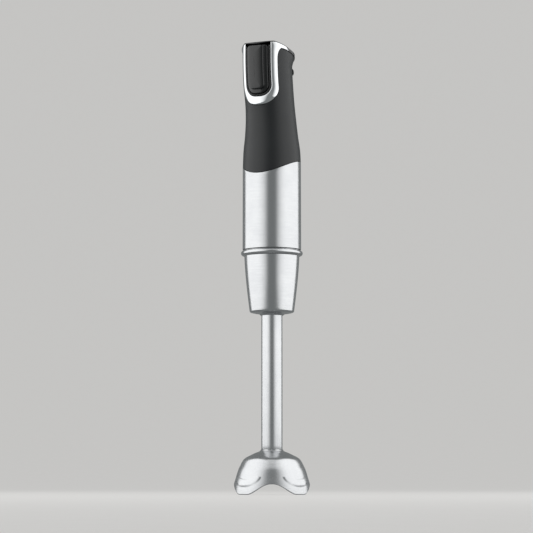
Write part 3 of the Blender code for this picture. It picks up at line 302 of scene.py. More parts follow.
@dataclass(frozen=True)
class Cellular(Finish):
    """A finish of small cells or pores, such as sintered bronze or pressed carbon."""

    def marks(self, tree: bpy.types.NodeTree, place: bpy.types.NodeSocket) -> bpy.types.NodeSocket:
        """Cells at the finish's pitch."""
        cells = add_node(tree, "ShaderNodeTexVoronoi", {"Vector": place, "Scale": 1 / (self.pitch * MM)})
        return cells.outputs["Distance"]


# Stainless steel sheet, spun and satin-brushed round its axis: soft bright bands with a faint turned
# grain. The real grain is about 0.1 mm, too fine to show, so it is drawn at 0.5 mm.
SATIN_STEEL = Finish(
    "Stainless steel, satin brushed", "#C9CACB", "#C1C2C4", 0.20, 0.035, 0.5, 0.0008, Grain.AROUND, 1.0)
# The same steel drawn into tube, its grain running lengthwise, also drawn at 0.5 mm.
DRAWN_STEEL = Finish(
    "Stainless steel, drawn tube", "#CACBCC", "#C2C3C5", 0.24, 0.03, 0.5, 0.0006, Grain.ALONG, 1.0)
# Stainless steel, deep-drawn and finely brushed: broad soft reflections, slight waviness from the press.
POLISHED_STEEL = Finish(
    "Stainless steel, deep drawn and polished", "#CBCCCD", "#C3C4C6", 0.25, 0.03, 1.2, 0.0008,
    Grain.EVEN, 1.0)
# Blade steel, ground and polished: bright with short lengthwise grinding marks.
GROUND_STEEL = Finish(
    "Blade steel, ground", "#C8C9CB", "#AFB1B4", 0.17, 0.05, 0.4, 0.002, Grain.EVEN, 1.0, patch=6.0)
# Bright steel wire and screws, cold drawn and zinc-flashed.
BRIGHT_STEEL = Finish(
    "Steel, cold drawn and bright", "#BFC0C2", "#A9ABAE", 0.22, 0.06, 0.5, 0.002, Grain.ALONG, 1.0, patch=5.0)
# Chrome-plated ABS: mirror bright, the plating follows a faint ripple of the moulding.
CHROME = Finish(
    "ABS, chrome plated", "#E4E5E6", "#DADCDE", 0.055, 0.02, 3.5, 0.0012, Grain.EVEN, 1.0)
# Thermoplastic elastomer, moulded on a spark-eroded tool: matt, slightly bloomed dark grey with a
# fine pebble. The real pebble is 0.15 mm, drawn at 0.6 mm so that it shows.
SOFT_GRIP = Finish(
    "Thermoplastic elastomer, soft touch", "#0D1114", "#0A0E10", 0.44, 0.03, 0.6, 0.008, ior=1.5)
# ABS moulded on a polished tool: black, glossy, with the faint orange peel of the moulding.
GLOSS_BLACK = Finish(
    "ABS, polished black", "#0A0B0C", "#070708", 0.10, 0.03, 3.0, 0.0015, ior=1.54, coat=0.3)
# The trigger's face: a blue-black polycarbonate blend with a satin gloss.
TRIGGER_BLACK = Finish(
    "Polycarbonate blend, satin black", "#050708", "#040506", 0.22, 0.03, 2.2, 0.0006, ior=1.58)
# Seal and liner rubber, moulded: matt and slightly dusty.
RUBBER = Finish("Nitrile rubber, moulded", "#141517", "#101112", 0.6, 0.08, 0.7, 0.02, ior=1.52)
# Glass-filled nylon, moulded: matt black with short flow marks.
BLACK_NYLON = Finish("Nylon, glass filled, black", "#161718", "#0F1011", 0.46, 0.08, 0.8, 0.012, ior=1.53)
# The same nylon uncoloured, as inner frames are moulded.
GREY_NYLON = Finish("Nylon, glass filled, grey", "#8A8B8D", "#7C7D80", 0.5, 0.07, 0.9, 0.012, ior=1.53)
# Punched steel sheets 0.5 mm thick, stacked: fine dark lines round the stack.
LAMINATION = Banded(
    "Electrical steel, stacked sheets", "#8D9094", "#5B5D60", 0.42, 0.08, 0.5, 0.05, metallic=1.0)
# Enamelled copper wire, wound: 0.6 mm turns with a varnish gloss.
COPPER_WIRE = Banded(
    "Copper wire, enamelled and wound", "#A9542B", "#6E2F17", 0.32, 0.08, 0.6, 0.12, metallic=1.0, coat=0.4)
# Brass sheet, cut and folded: warm and slightly dulled along the roll.
BRASS = Finish(
    "Brass sheet, folded", "#C9A45C", "#B58F49", 0.3, 0.06, 0.8, 0.004, Grain.ALONG, 1.0, patch=6.0)
# Sintered bronze: open pores that hold oil.
BRONZE = Cellular("Bronze, sintered", "#A07A45", "#7A5A30", 0.42, 0.1, 0.5, 0.02, metallic=1.0, patch=4.0)
# Pressed carbon: sooty and fine grained.
CARBON = Cellular("Carbon, pressed", "#2B2B2C", "#1B1B1C", 0.7, 0.1, 0.4, 0.02, patch=3.0)
# Epoxy board with a green solder mask over its copper tracks.
BOARD = Cellular("Epoxy board, lacquered", "#1E5C34", "#2F7A47", 0.35, 0.08, 3.0, 0.03, ior=1.55, patch=5.0)
# Die-cast aluminium: pale, with the faint orange peel of the die.
ALUMINIUM = Finish(
    "Aluminium, die cast", "#B9BBBE", "#A6A8AB", 0.38, 0.08, 0.7, 0.015, metallic=1.0, patch=8.0)
# Polyester film capacitor in a moulded yellow case.
CAPACITOR = Finish("Polyester case, yellow", "#C08A22", "#AD7A1A", 0.34, 0.06, 1.2, 0.006, ior=1.55)

# Inner pieces that keep their CAD meshes: finish, record slot and nodes.
CARRIED = (
    (GREY_NYLON, "grey_nylon", (
        "motor_housing", "handle_frame", "switch_plunger", "middle_guide")),
    (LAMINATION, "lamination", (
        "stator_core", "armature_core")),
    (COPPER_WIRE, "copper", (
        "field_coil_front", "field_coil_rear", "armature_winding_lower", "armature_winding_upper",
        "commutator")),
    (RUBBER, "grey_rubber", (
        "stator_mount",)),
    (ALUMINIUM, "aluminium", (
        "upper_bracket", "triac_heat_sink")),
    (BRIGHT_STEEL, "bright_steel", (
        "trigger_pivot_pin", "stator_screw_left", "stator_screw_right", "frame_screw_front",
        "frame_screw_rear", "brush_spring_front", "brush_spring_rear", "bearing_lower", "bearing_upper",
        "trigger_spring", "lock_spring", "armature_shaft")),
    (BRASS, "brass", (
        "brush_holder_front", "brush_holder_rear")),
    (CARBON, "carbon", (
        "carbon_brush_front", "carbon_brush_rear")),
    (BOARD, "board", (
        "circuit_board",)),
    (CAPACITOR, "capacitor_yellow", (
        "filter_capacitor",)),
    (BLACK_NYLON, "black_nylon", (
        "trigger_switch", "lock_switch", "fan")),
    (BRONZE, "bronze", (
        "lower_bush", "upper_bush")),
)


@dataclass(frozen=True)
class Piece:
    """What a finished mesh stands for: its CAD node, body, record slot and finish."""

    node: str
    body: str
    slot: str
    finish: Finish

    def place(self, bm: bmesh.types.BMesh, sharp: float = 38.0) -> bpy.types.Object:
        """Make the object, dress it and hang it on its body.

        Args:
            bm: the mesh, closed, in metres in the row frame; it is used up.
            sharp: angle in degrees past which an edge stays crisp.

        Returns:
            The finished object.
        """
        bmesh.ops.recalc_face_normals(bm, faces=bm.faces)
        mesh = bpy.data.meshes.new(f"fine_{self.node}")
        bm.to_mesh(mesh)
        bm.free()
        mesh.shade_smooth()
        mesh.set_sharp_from_angle(angle=math.radians(sharp))
        mesh.materials.append(self.finish.material())
        item = bpy.data.objects.new(f"fine_{self.node}", mesh)
        bpy.context.scene.collection.objects.link(item)
        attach(item, self.body)
        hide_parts(self.node)
        LOG.info("%s: %d faces, %s", item.name, len(mesh.polygons), self.finish.name)
        return item


# ---------------------------------------------------------------- the grip's form

@dataclass(frozen=True)
class GripForm:
    """The surface that the grip, its trim, the trigger, the lid and the lock bar share."""

    hem: float = 292.2
    top: float = 402.2
    wall: float = 2.2
    crest_y: float = -24.5
    rear_slope: float = 0.344
    front_drop: float = 1.5
    flare: float = 2.2
    flare_depth: float = 12.0
    flare_full: float = 112.0
    wing_end: float = 82.0
    opening_half: float = 12.6
    opening_drop: float = 49.3
    opening_corner: float = 10.5
    trim_width: float = 4.6
    trim_bottom: float = 7.1
    stations: tuple = (
        (0.00, 0.0, 26.1), (0.13, 0.0, 25.5), (0.26, 0.7, 23.8), (0.39, 1.8, 22.65),
        (0.52, 3.9, 22.1), (0.66, 6.9, 22.3), (0.82, 8.6, 22.2), (1.00, 8.3, 22.5))

    def section(self, z: float) -> list[float]:
        """The centre's offset to the front and the radius at a height."""
        return hermite(self.stations, (z - self.hem) / (self.top - self.hem))

    def lid(self, y: float) -> float:
        """Height of the lid, which falls away before and behind its crest."""
        ahead, behind = max(0.0, self.crest_y - y), max(0.0, y - self.crest_y)
        return self.top - self.rear_slope * behind - self.front_drop * (ahead / 6.3) ** 2

    def skin(self, angle: float, z: float, offset: float = 0.0, square: bool = False) -> Point:
        """A point on the surface.

        Args:
            angle: degrees from the front.
            z: height.
            offset: distance outwards.
            square: offset straight along Y instead.

        Returns:
            The point in millimetres.
        """
        shift, radius = self.section(z)
        turn = math.radians(angle)
        if square:
            return (radius * math.sin(turn), -shift - radius * math.cos(turn) - offset / math.cos(turn), z)
        below = self.lid(-shift - radius * math.cos(turn)) - z
        rearward = smooth_step((abs(angle) - self.wing_end) / (self.flare_full - self.wing_end))
        radius += offset + self.flare * rearward * smooth_step(1 - below / self.flare_depth)
        return (radius * math.sin(turn), -shift - radius * math.cos(turn), z)

    def angle_of(self, x: float, z: float) -> float:
        """The angle at which the front of the surface has this X."""
        return math.degrees(math.asin(x / self.section(z)[1]))

    def rim(self, angle: float, drop: float = 0.0, offset: float = 0.0) -> Point:
        """A point of the surface at a drop below the lid."""
        z = self.top
        x = y = 0.0
        for _ in range(6):
            x, y, _ = self.skin(angle, z, offset)
            z = self.lid(y)
        return (x, y, z - drop)

    def hem_height(self, angle: float) -> float:
        """Height of the grip's waved hem."""
        turn = math.radians(angle)
        return self.hem - 3.8 * math.cos(2 * turn) - 3.7 * math.cos(turn)

    def wing_low(self, angle: float) -> float:
        """Lower edge of the chrome wing: a quarter ellipse, then a gentle fall."""
        start = self.angle_of(self.opening_half + self.trim_width, self.top - 16)
        corner = start + 10.5
        if angle < corner:
            share = max(0.0, (corner - angle) / (corner - start))
            return self.top - 16 + 9.5 * math.sqrt(max(0.0, 1 - share**2))
        return self.top - 6.5 - 1.2 * (angle - corner) / (self.wing_end - corner)

    def u_corner(self, inset: float, degrees: float) -> tuple[float, float]:
        """A point (x, z) on the U's rounded lower corner.

        Args:
            inset: distance inside the opening's edge; negative lies on the trim.
            degrees: 0 at the corner's foot to 90 on the leg.

        Returns:
            X and Z.
        """
        half = self.opening_half - inset
        corner = self.opening_corner - inset
        bottom = self.top - self.opening_drop + inset
        turn = math.radians(degrees)
        return (half - corner + corner * math.sin(turn), bottom + corner - corner * math.cos(turn))

    def outer_corner(self, degrees: float) -> tuple[float, float]:
        """A point (x, z) on the lower corner of the trim's outer edge."""
        half = self.opening_half + self.trim_width
        corner = self.opening_corner + self.trim_width
        bottom = self.top - self.opening_drop - self.trim_bottom
        turn = math.radians(degrees)
        return (half - corner + corner * math.sin(turn), bottom + corner - corner * math.cos(turn))

    def outer_low(self, x: float) -> float:
        """Lower edge of the trim at an X."""
        half = self.opening_half + self.trim_width
        corner = self.opening_corner + self.trim_width
        reach = min(max(abs(x) - (half - corner), 0.0) / corner, 1.0)
        return self.top - self.opening_drop - self.trim_bottom + corner * (1 - math.sqrt(1 - reach**2))


def mirrored(half_rows: list[list[Point]]) -> list[list[Point]]:
    """Rows from the middle out to +X, with their mirror images before them."""
    return [[(-x, y, z) for x, y, z in row] for row in reversed(half_rows[1:])] + half_rows


# ---------------------------------------------------------------- grip, lid, trim and trigger

@dataclass
class Handle:
    """The upper half of the motor unit: soft grip, gloss lid, chrome surround, trigger and lock."""

    form: GripForm = GripForm()
    cap_rim: float = 3.0
    cap_lip: float = 0.8
    gland_y: float = 1.0
    gland_r: float = 5.0
    cord_bore: float = 3.3
    slot_z: float = 377.7
    slot_half: float = 3.0
    slot_start: float = 110.0
    lock_start: float = 115.0
    trim_depth: float = 2.0
    face_half: float = 7.5
    face_proud: float = 3.1

    def build(self) -> None:
        """Build and dress every piece of the handle."""
        self.grip()
        self.lid()
        self.gland()
        self.trim()
        self.liner()
        self.trigger()
        self.lock()

    def grip_top(self, angle: float, clear: float) -> float:
        """Height of the grip's upper edge: under the trim, under the wing or under the lid's rim."""
        form = self.form
        away = abs(angle)
        edge = form.angle_of(form.opening_half + form.trim_width, form.top - 40)
        if away < edge:
            x = form.section(form.top - 45)[1] * math.sin(math.radians(away))
            return form.outer_low(x) - clear
        if away <= form.wing_end:
            return form.wing_low(away) - clear
        return form.rim(angle, self.cap_rim + clear)[2]

    def grip(self) -> None:
        """The soft sleeve, with a rounded hem, a rounded upper edge and the lock bar's slot."""
        form = self.form
        edge = form.angle_of(form.opening_half + form.trim_width, form.top - 40)
        half = [edge * math.sin(math.pi / 2 * i / 20) for i in range(20)] + [edge - 0.05, edge + 0.05]
        half += [edge + 0.4, edge + 1.2, *spread(edge + 2.4, form.wing_end, 18)]
        half += [form.wing_end + 0.3, *spread(form.wing_end + 2, self.slot_start, 12)]
        half += spread(self.slot_start, 180.0, 24)[1:]
        angles = half + [-a for a in reversed(half[1:-1])]
        low, high = self.slot_z - self.slot_half, self.slot_z + self.slot_half
        shared = form.top - form.opening_drop - form.trim_bottom - 4.0

        def levels(angle: float) -> list[float]:
            """Heights of the rows in one column, with the slot's edges among them."""
            hem, top = form.hem_height(angle), self.grip_top(angle, 0.2)
            blend = smooth_step((abs(angle) - 84) / 20)
            marks = []
            for fixed, share in ((low, 0.6), (high, 0.85)):
                marks.append((shared + (top - shared) * share) * (1 - blend) + fixed * blend)
            rows = [hem + 0.12, hem + 0.45, *spread(hem + 1.2, shared, 20), *spread(shared, marks[0], 11)[1:]]
            rows += spread(marks[0], marks[1], 5)[1:]
            return rows + spread(marks[1], top - 0.8, 6)[1:] + [top - 0.3]

        columns = {angle: levels(angle) for angle in angles}
        count = len(columns[0])
        slot_rows = (32, 37)

        def ring(index: int, offset: float) -> list[Point]:
            """One row of points round the grip."""
            return [form.skin(a, columns[a][index], offset) for a in angles]

        def edge_ring(hem_end: bool, lift: float, offset: float) -> list[Point]:
            """A row on the hem or on the upper edge."""
            points = []
            for a in angles:
                z = form.hem_height(a) + lift if hem_end else self.grip_top(a, 0.2) + lift
                points.append(form.skin(a, z, offset))
            return points

        rings = [edge_ring(True, 0.0, -0.45)]
        rings += [ring(0, -0.13), *[ring(i, 0.0) for i in range(1, count - 1)], ring(count - 1, -0.1)]
        rings += [edge_ring(False, 0.0, -0.4), edge_ring(False, 0.0, -form.wall)]
        inner = [count - 4, slot_rows[1], slot_rows[0], 24, 16, 8, 2]
        rings += [ring(i, -form.wall) for i in inner] + [edge_ring(True, 0.0, -form.wall)]
        bm = wrap(rings, looped=True)
        self.cut_slot(bm, low, high)
        Piece("grip_sleeve", "motor_unit", "soft_grip", SOFT_GRIP).place(bm, 50)

    def cut_slot(self, bm: bmesh.types.BMesh, low: float, high: float) -> None:
        """Open the slot for the lock bar through both walls, and join its edges.

        Args:
            bm: the grip's mesh, with rows of vertices on the slot's edges.
            low: height of the slot's lower edge.
            high: height of its upper edge.
        """
        reach = math.cos(math.radians(self.slot_start))
        shift = self.form.section(self.slot_z)[0]
        doomed = []
        for face in bm.faces:
            middle = face.calc_center_median() / MM
            ahead = -(middle.y + shift) / math.hypot(middle.x, middle.y + shift)
            if low < middle.z < high and ahead < reach - 0.001:
                doomed.append(face)
        bmesh.ops.delete(bm, geom=doomed, context="FACES")
        bmesh.ops.bridge_loops(bm, edges=[edge for edge in bm.edges if edge.is_boundary])

    def lid(self) -> None:
        """The gloss lid: a slanted plate with a crisp rounded rim and a hole for the cord gland."""
        form = self.form
        half = [*spread(0, 80, 40), form.wing_end, form.wing_end + 0.6, *spread(85, 180, 38)]
        angles = half + [-a for a in reversed(half[1:-1])]
        hole_r = self.gland_r + 0.12

        def lip(angle: float) -> float:
            """Height of the rim: low over the chrome, full behind it."""
            return self.cap_lip if abs(angle) <= form.wing_end else self.cap_rim

        def hole(angle: float, drop: float, wider: float = 0.0) -> Point:
            """A point on the gland's hole."""
            turn = math.radians(angle)
            x, y = (hole_r + wider) * math.sin(turn), self.gland_y - (hole_r + wider) * math.cos(turn)
            return (x, y, form.lid(y) - drop)

        def between(angle: float, share: float, drop: float) -> Point:
            """A point on the plate, from the hole at 0 to the rim at 1."""
            inner, outer = hole(angle, 0.0), form.rim(angle, 0.0, -1.0)
            x = inner[0] + (outer[0] - inner[0]) * share
            y = inner[1] + (outer[1] - inner[1]) * share
            crown = 0.35 * math.sin(math.pi * share)
            return (x, y, form.lid(y) - drop + crown * (drop == 0.0))

        bore = ((4.0, 0.0), (0.4, 0.0), (0.0, 0.35))
        rings = [[hole(a, drop, wider) for a in angles] for drop, wider in bore]
        rings += [[between(a, share, 0.0) for a in angles] for share in spread(0.12, 1.0, 12)]
        for inset, drop in ((-0.62, 0.04), (-0.32, 0.16), (-0.1, 0.38), (0.0, 0.68)):
            rings.append([form.rim(a, min(drop, lip(a)), inset) for a in angles])
        rings.append([form.rim(a, lip(a) - 0.1) for a in angles])
        rings.append([form.rim(a, lip(a), -0.1) for a in angles])
        rings.append([form.rim(a, lip(a), -2.6) for a in angles])
        rings += [[between(a, 0.58, 1.6) for a in angles], [between(a, 0.56, 4.0) for a in angles]]
        bm = wrap(rings, looped=True)
        Piece("top_cap", "motor_unit", "black_gloss", GLOSS_BLACK).place(bm, 45)

    def gland(self) -> None:
        """The cord's ribbed bend protector, open through its middle."""
        low = self.form.lid(self.gland_y) - 9.2
        face = self.form.lid(self.gland_y) + 1.5
        corners = [(self.cord_bore, low), (self.gland_r + 2.4, low), (self.gland_r + 2.4, low + 2.0)]
        corners.append((self.gland_r, low + 2.0))
        for rib in range(3):
            height, radius = face + 1.8 * rib, self.gland_r - 0.25 * rib
            corners += [(radius, height), (radius - 0.75, height + 0.3), (radius - 0.75, height + 1.0)]
        corners += [(self.cord_bore + 0.9, face + 5.5), (self.cord_bore, face + 5.5)]
        bm = spin(rounded(corners, 0.25), 72)
        bmesh.ops.translate(bm, verts=bm.verts, vec=(0, self.gland_y * MM, 0))
        Piece("cord_gland", "motor_unit", "black_nylon", BLACK_NYLON).place(bm)

    def trim_path(self) -> list[tuple[float, float, float, float]]:
        """Inner angle and height, outer angle and height, from the trim's foot to the wing's tip."""
        form = self.form
        rows = []
        foot_in, foot_out = form.u_corner(0, 0), form.outer_corner(0)
        for share in spread(0, 1, 4)[:-1]:
            rows.append(((foot_in[0] * share, foot_in[1]), (foot_out[0] * share, foot_out[1])))
        rows += [(form.u_corner(0, d), form.outer_corner(d)) for d in spread(0, 90, 18)]
        inner_z, outer_z = rows[-1][0][1], rows[-1][1][1]
        for share in spread(0, 1, 16)[1:]:
            z_in = inner_z + (form.top - 10 - inner_z) * share
            z_out = outer_z + (form.top - 16 - outer_z) * share
            rows.append(((form.opening_half, z_in), (form.opening_half + form.trim_width, z_out)))
        path = [(form.angle_of(*a), a[1], form.angle_of(*b), b[1]) for a, b in rows]
        start = form.angle_of(form.opening_half + form.trim_width, form.top - 16)
        leg = form.angle_of(form.opening_half, form.top - 8)
        brim = form.rim(leg, self.cap_lip + 0.15)[2]
        for share in spread(0, 1, 8)[1:]:
            below = start + 3.2 * share**1.5
            path.append((leg, form.top - 10 + (brim - form.top + 10) * share, below, form.wing_low(below)))
        for share in spread(0, 1, 30)[1:]:
            above = leg + (form.wing_end - 2 - leg) * share
            below = start + 3.2 + (form.wing_end - start - 3.2) * share**0.9
            path.append((above, form.rim(above, self.cap_lip + 0.15)[2], below, form.wing_low(below)))
        return path

    def trim(self) -> None:
        """The chrome U and its two wings, crowned across and rounded at both edges."""
        form = self.form
        across = (
            (0.0, 0.05), (0.02, 0.26), (0.06, 0.42), (0.12, 0.52), (0.25, 0.66), (0.4, 0.76), (0.55, 0.79),
            (0.7, 0.74), (0.82, 0.62), (0.9, 0.5), (0.95, 0.38), (0.98, 0.22), (1.0, 0.0))
        rows = []
        path = self.trim_path()
        for place, (angle_in, z_in, angle_out, z_out) in enumerate(path):
            tip = smooth_step((len(path) - 1 - place) / 5)
            row = [form.skin(angle_in, z_in, -self.trim_depth, angle_in < 45)]
            for share, proud in across:
                angle = angle_in + (angle_out - angle_in) * share
                row.append(form.skin(angle, z_in + (z_out - z_in) * share, proud * (0.35 + 0.65 * tip)))
            row.append(form.skin(angle_out, z_out, -self.trim_depth))
            rows.append(row)
        bm = wrap(mirrored(rows))
        Piece("trigger_bezel", "motor_unit", "chrome", CHROME).place(bm, 50)

    def liner(self) -> None:
        """The rubber liner between the chrome and the trigger."""
        form = self.form
        width = 1.6
        rows = []
        for share in spread(0, 1, 4)[:-1]:
            inner, outer = form.u_corner(GAP + width, 0), form.u_corner(GAP, 0)
            rows.append(((inner[0] * share, inner[1]), (outer[0] * share, outer[1])))
        rows += [(form.u_corner(GAP + width, d), form.u_corner(GAP, d)) for d in spread(0, 90, 18)]
        start_in, start_out = rows[-1][0][1], rows[-1][1][1]
        for share in spread(0, 1, 10)[1:]:
            rows.append((
                (rows[-1][0][0], start_in + (form.top - 4 - start_in) * share),
                (rows[-1][1][0], start_out + (form.top - 4 - start_out) * share)))
        across = ((0.0, -0.25), (0.12, 0.0), (0.3, 0.1), (0.7, 0.1), (0.88, 0.0), (1.0, -0.25))
        rings = []
        for (x_in, z_in), (x_out, z_out) in rows:
            ring = [form.skin(form.angle_of(x_in, z_in), z_in, -1.8, True)]
            for share, proud in across:
                x, z = x_in + (x_out - x_in) * share, z_in + (z_out - z_in) * share
                ring.append(form.skin(form.angle_of(x, z), z, proud, True))
            ring.append(form.skin(form.angle_of(x_out, z_out), z_out, -1.8, True))
            rings.append(ring)
        Piece("trigger_gasket", "motor_unit", "grey_rubber", RUBBER).place(wrap(mirrored(rings)), 50)

    def trigger_outline(self, inset: float, offset: float, raised: float) -> list[Point]:
        """A closed outline of the trigger.

        Args:
            inset: distance inside the outline.
            offset: height above the grip's surface.
            raised: 0 for the base's outline, 1 for the raised face's.

        Returns:
            The outline's points, symmetrical left and right.
        """
        form = self.form
        base = (form.opening_half - 3 * GAP - 1.6, form.top - form.opening_drop + 3 * GAP + 1.6,
                form.top - 3.8, form.opening_corner - 2 * GAP - 1.6)
        face = (self.face_half, form.top - 43.0, form.top - 4.2, 4.0)
        half, low, high, corner = [b + (f - b) * raised for b, f in zip(base, face)]
        half, low, high = half - inset, low + inset, high - inset
        corner, top_corner = max(corner - inset, 0.4), max(2.2 - inset, 0.3)
        right = []
        for degrees in spread(90, 0, 6):
            turn = math.radians(degrees)
            right.append((half - top_corner + top_corner * math.cos(turn),
                          high - top_corner + top_corner * math.sin(turn)))
        right += [(half, z) for z in spread(high - top_corner, low + corner, 14)[1:-1]]
        for degrees in spread(90, 0, 12):
            turn = math.radians(degrees)
            right.append((half - corner + corner * math.sin(turn), low + corner - corner * math.cos(turn)))
        outline = right + [(-x, z) for x, z in reversed(right)]
        return [form.skin(form.angle_of(x, z), z, offset, True) for x, z in outline]

    def trigger(self) -> None:
        """The trigger: a base in the opening and a raised, crowned face."""
        proud = self.face_proud
        layers = [(0.0, -2.5, 0.0), (0.0, -0.2, 0.0), (0.12, 0.08, 0.0), (0.4, 0.2, 0.0), (0.7, 0.25, 0.25)]
        layers += [(0.2, 0.3, 0.75), (0.05, 0.45, 0.96), (0.0, 0.8, 1.0), (0.0, proud - 1.0, 1.0)]
        layers += [(0.06, proud - 0.75, 1.0), (0.22, proud - 0.56, 1.0), (0.48, proud - 0.45, 1.0)]
        layers += [(0.8, proud - 0.4, 1.0), (1.4, proud - 0.33, 1.0), (2.4, proud - 0.23, 1.0)]
        layers += [(3.8, proud - 0.12, 1.0), (5.4, proud - 0.04, 1.0), (6.9, proud, 1.0)]
        bm = wrap([self.trigger_outline(*layer) for layer in layers])
        Piece("trigger", "trigger", "black_gloss", TRIGGER_BLACK).place(bm, 40)

    def lock(self) -> None:
        """The lock's curved bar round the rear of the grip, with grip ribs and rounded ends."""
        form = self.form
        low, high = self.slot_z - 2.7, self.slot_z + 2.7
        sweep = 360 - 2 * self.lock_start
        rows = []
        for i in range(73):
            angle = self.lock_start + sweep * i / 72
            ends = smooth_step(min(i, 72 - i) / 5)
            rib = 0.12 * math.cos(i * math.pi / 1.5) if 12 < i < 60 else 0.0
            row = [form.skin(angle, low, -form.wall)]
            for share, proud in ((0.0, 0.2), (0.04, 0.75), (0.12, 1.2), (0.28, 1.5), (0.5, 1.6),
                                 (0.72, 1.5), (0.88, 1.2), (0.96, 0.75), (1.0, 0.2)):
                row.append(form.skin(angle, low + (high - low) * share, (proud + rib) * (0.45 + 0.55 * ends)))
            row.append(form.skin(angle, high, -form.wall))
            rows.append(row)
        Piece("lock_button", "lock", "black_nylon", BLACK_NYLON).place(wrap(rows), 50)


# ---------------------------------------------------------------- motor unit's lower half

@dataclass
class MotorUnit:
    """The steel sleeve, and the spigot that the foot slides onto."""

    seam: float = 217.6
    sleeve_r: float = 26.2
    sleeve_wall: float = 0.6
    spigot_r: float = 19.5
    spigot_low: float = 193.0
    dog_z: float = 200.3

    def build(self) -> None:
        """Build and dress the sleeve, the spigot, its spring ring and the drive dog."""
        self.sleeve()
        self.spigot()
        self.snap_ring()
        Coupling("drive_dog", "rotor", self.dog_z, 4.6, -5.4, 3.9, 0.0).build()

    def sleeve(self) -> None:
        """The satin sleeve, its upper edge following the grip's hem."""
        form = GripForm()
        angles = spread(0, 360, 192)[:-1]
        top_r = form.stations[0][2]

        def row(radius: float, share: float, drop: float = 0.0) -> list[Point]:
            """A ring at a share of the sleeve's height."""
            points = []
            for angle in angles:
                turn = math.radians(angle)
                low, high = self.seam + GAP, form.hem_height(angle) - 0.15
                z = low + (high - low) * share + drop
                points.append((radius * math.sin(turn), -radius * math.cos(turn), z))
            return points

        foot_r, wall = self.sleeve_r, self.sleeve_wall
        rings = [row(foot_r - 0.2, 0.0), row(foot_r - 0.05, 0.0, 0.06), row(foot_r, 0.0, 0.25)]
        rings += [row(foot_r + (top_r - foot_r) * share, share) for share in spread(0, 1, 24)[1:-1]]
        rings += [row(top_r, 1.0, -0.25), row(top_r - 0.05, 1.0, -0.06), row(top_r - 0.2, 1.0)]
        rings += [row(top_r - wall, 1.0), row(foot_r - wall, 0.5), row(foot_r - wall, 0.0)]
        Piece("steel_sleeve", "motor_unit", "satin_steel", SATIN_STEEL).place(wrap(rings, looped=True), 50)

    def spigot(self) -> None:
        """The nylon spigot with the ring's groove and the bearing's seat."""
        low, seam = self.spigot_low, self.seam
        flange = self.sleeve_r - self.sleeve_wall - 0.9
        groove, top = low + 6.5, seam + 4.4
        floor = self.dog_z + 4.6 + GAP
        corners = (
            (9.0, low), (self.spigot_r - 0.8, low), (self.spigot_r, low + 1.2), (self.spigot_r, groove - 1),
            (self.spigot_r - 1.2, groove - 1), (self.spigot_r - 1.2, groove + 1), (self.spigot_r, groove + 1),
            (self.spigot_r, seam + GAP), (flange, seam + GAP), (flange, top), (17.3, top), (17.3, groove + 4),
            (11.8, groove + 4), (11.8, floor + 9), (9.8, floor + 9), (9.8, floor + 2), (5.5, floor + 2),
            (5.5, floor), (9.0, floor))
        Piece("spigot", "motor_unit", "black_nylon", BLACK_NYLON).place(spin(rounded(corners, 0.3)))

    def snap_ring(self) -> None:
        """An open ring of round spring wire."""
        radius, wire, z = self.spigot_r - 0.1, 0.7, self.spigot_low + 6.5
        rows = []
        for turn in (math.radians(a) for a in spread(15, 345, 110)):
            ring = []
            for a in (math.tau * k / 14 for k in range(14)):
                r = radius + wire * math.cos(a)
                ring.append((r * math.cos(turn), r * math.sin(turn), z + wire * math.sin(a)))
            rows.append(ring)
        Piece("snap_ring", "motor_unit", "bright_steel", BRIGHT_STEEL).place(wrap(rows), 50)


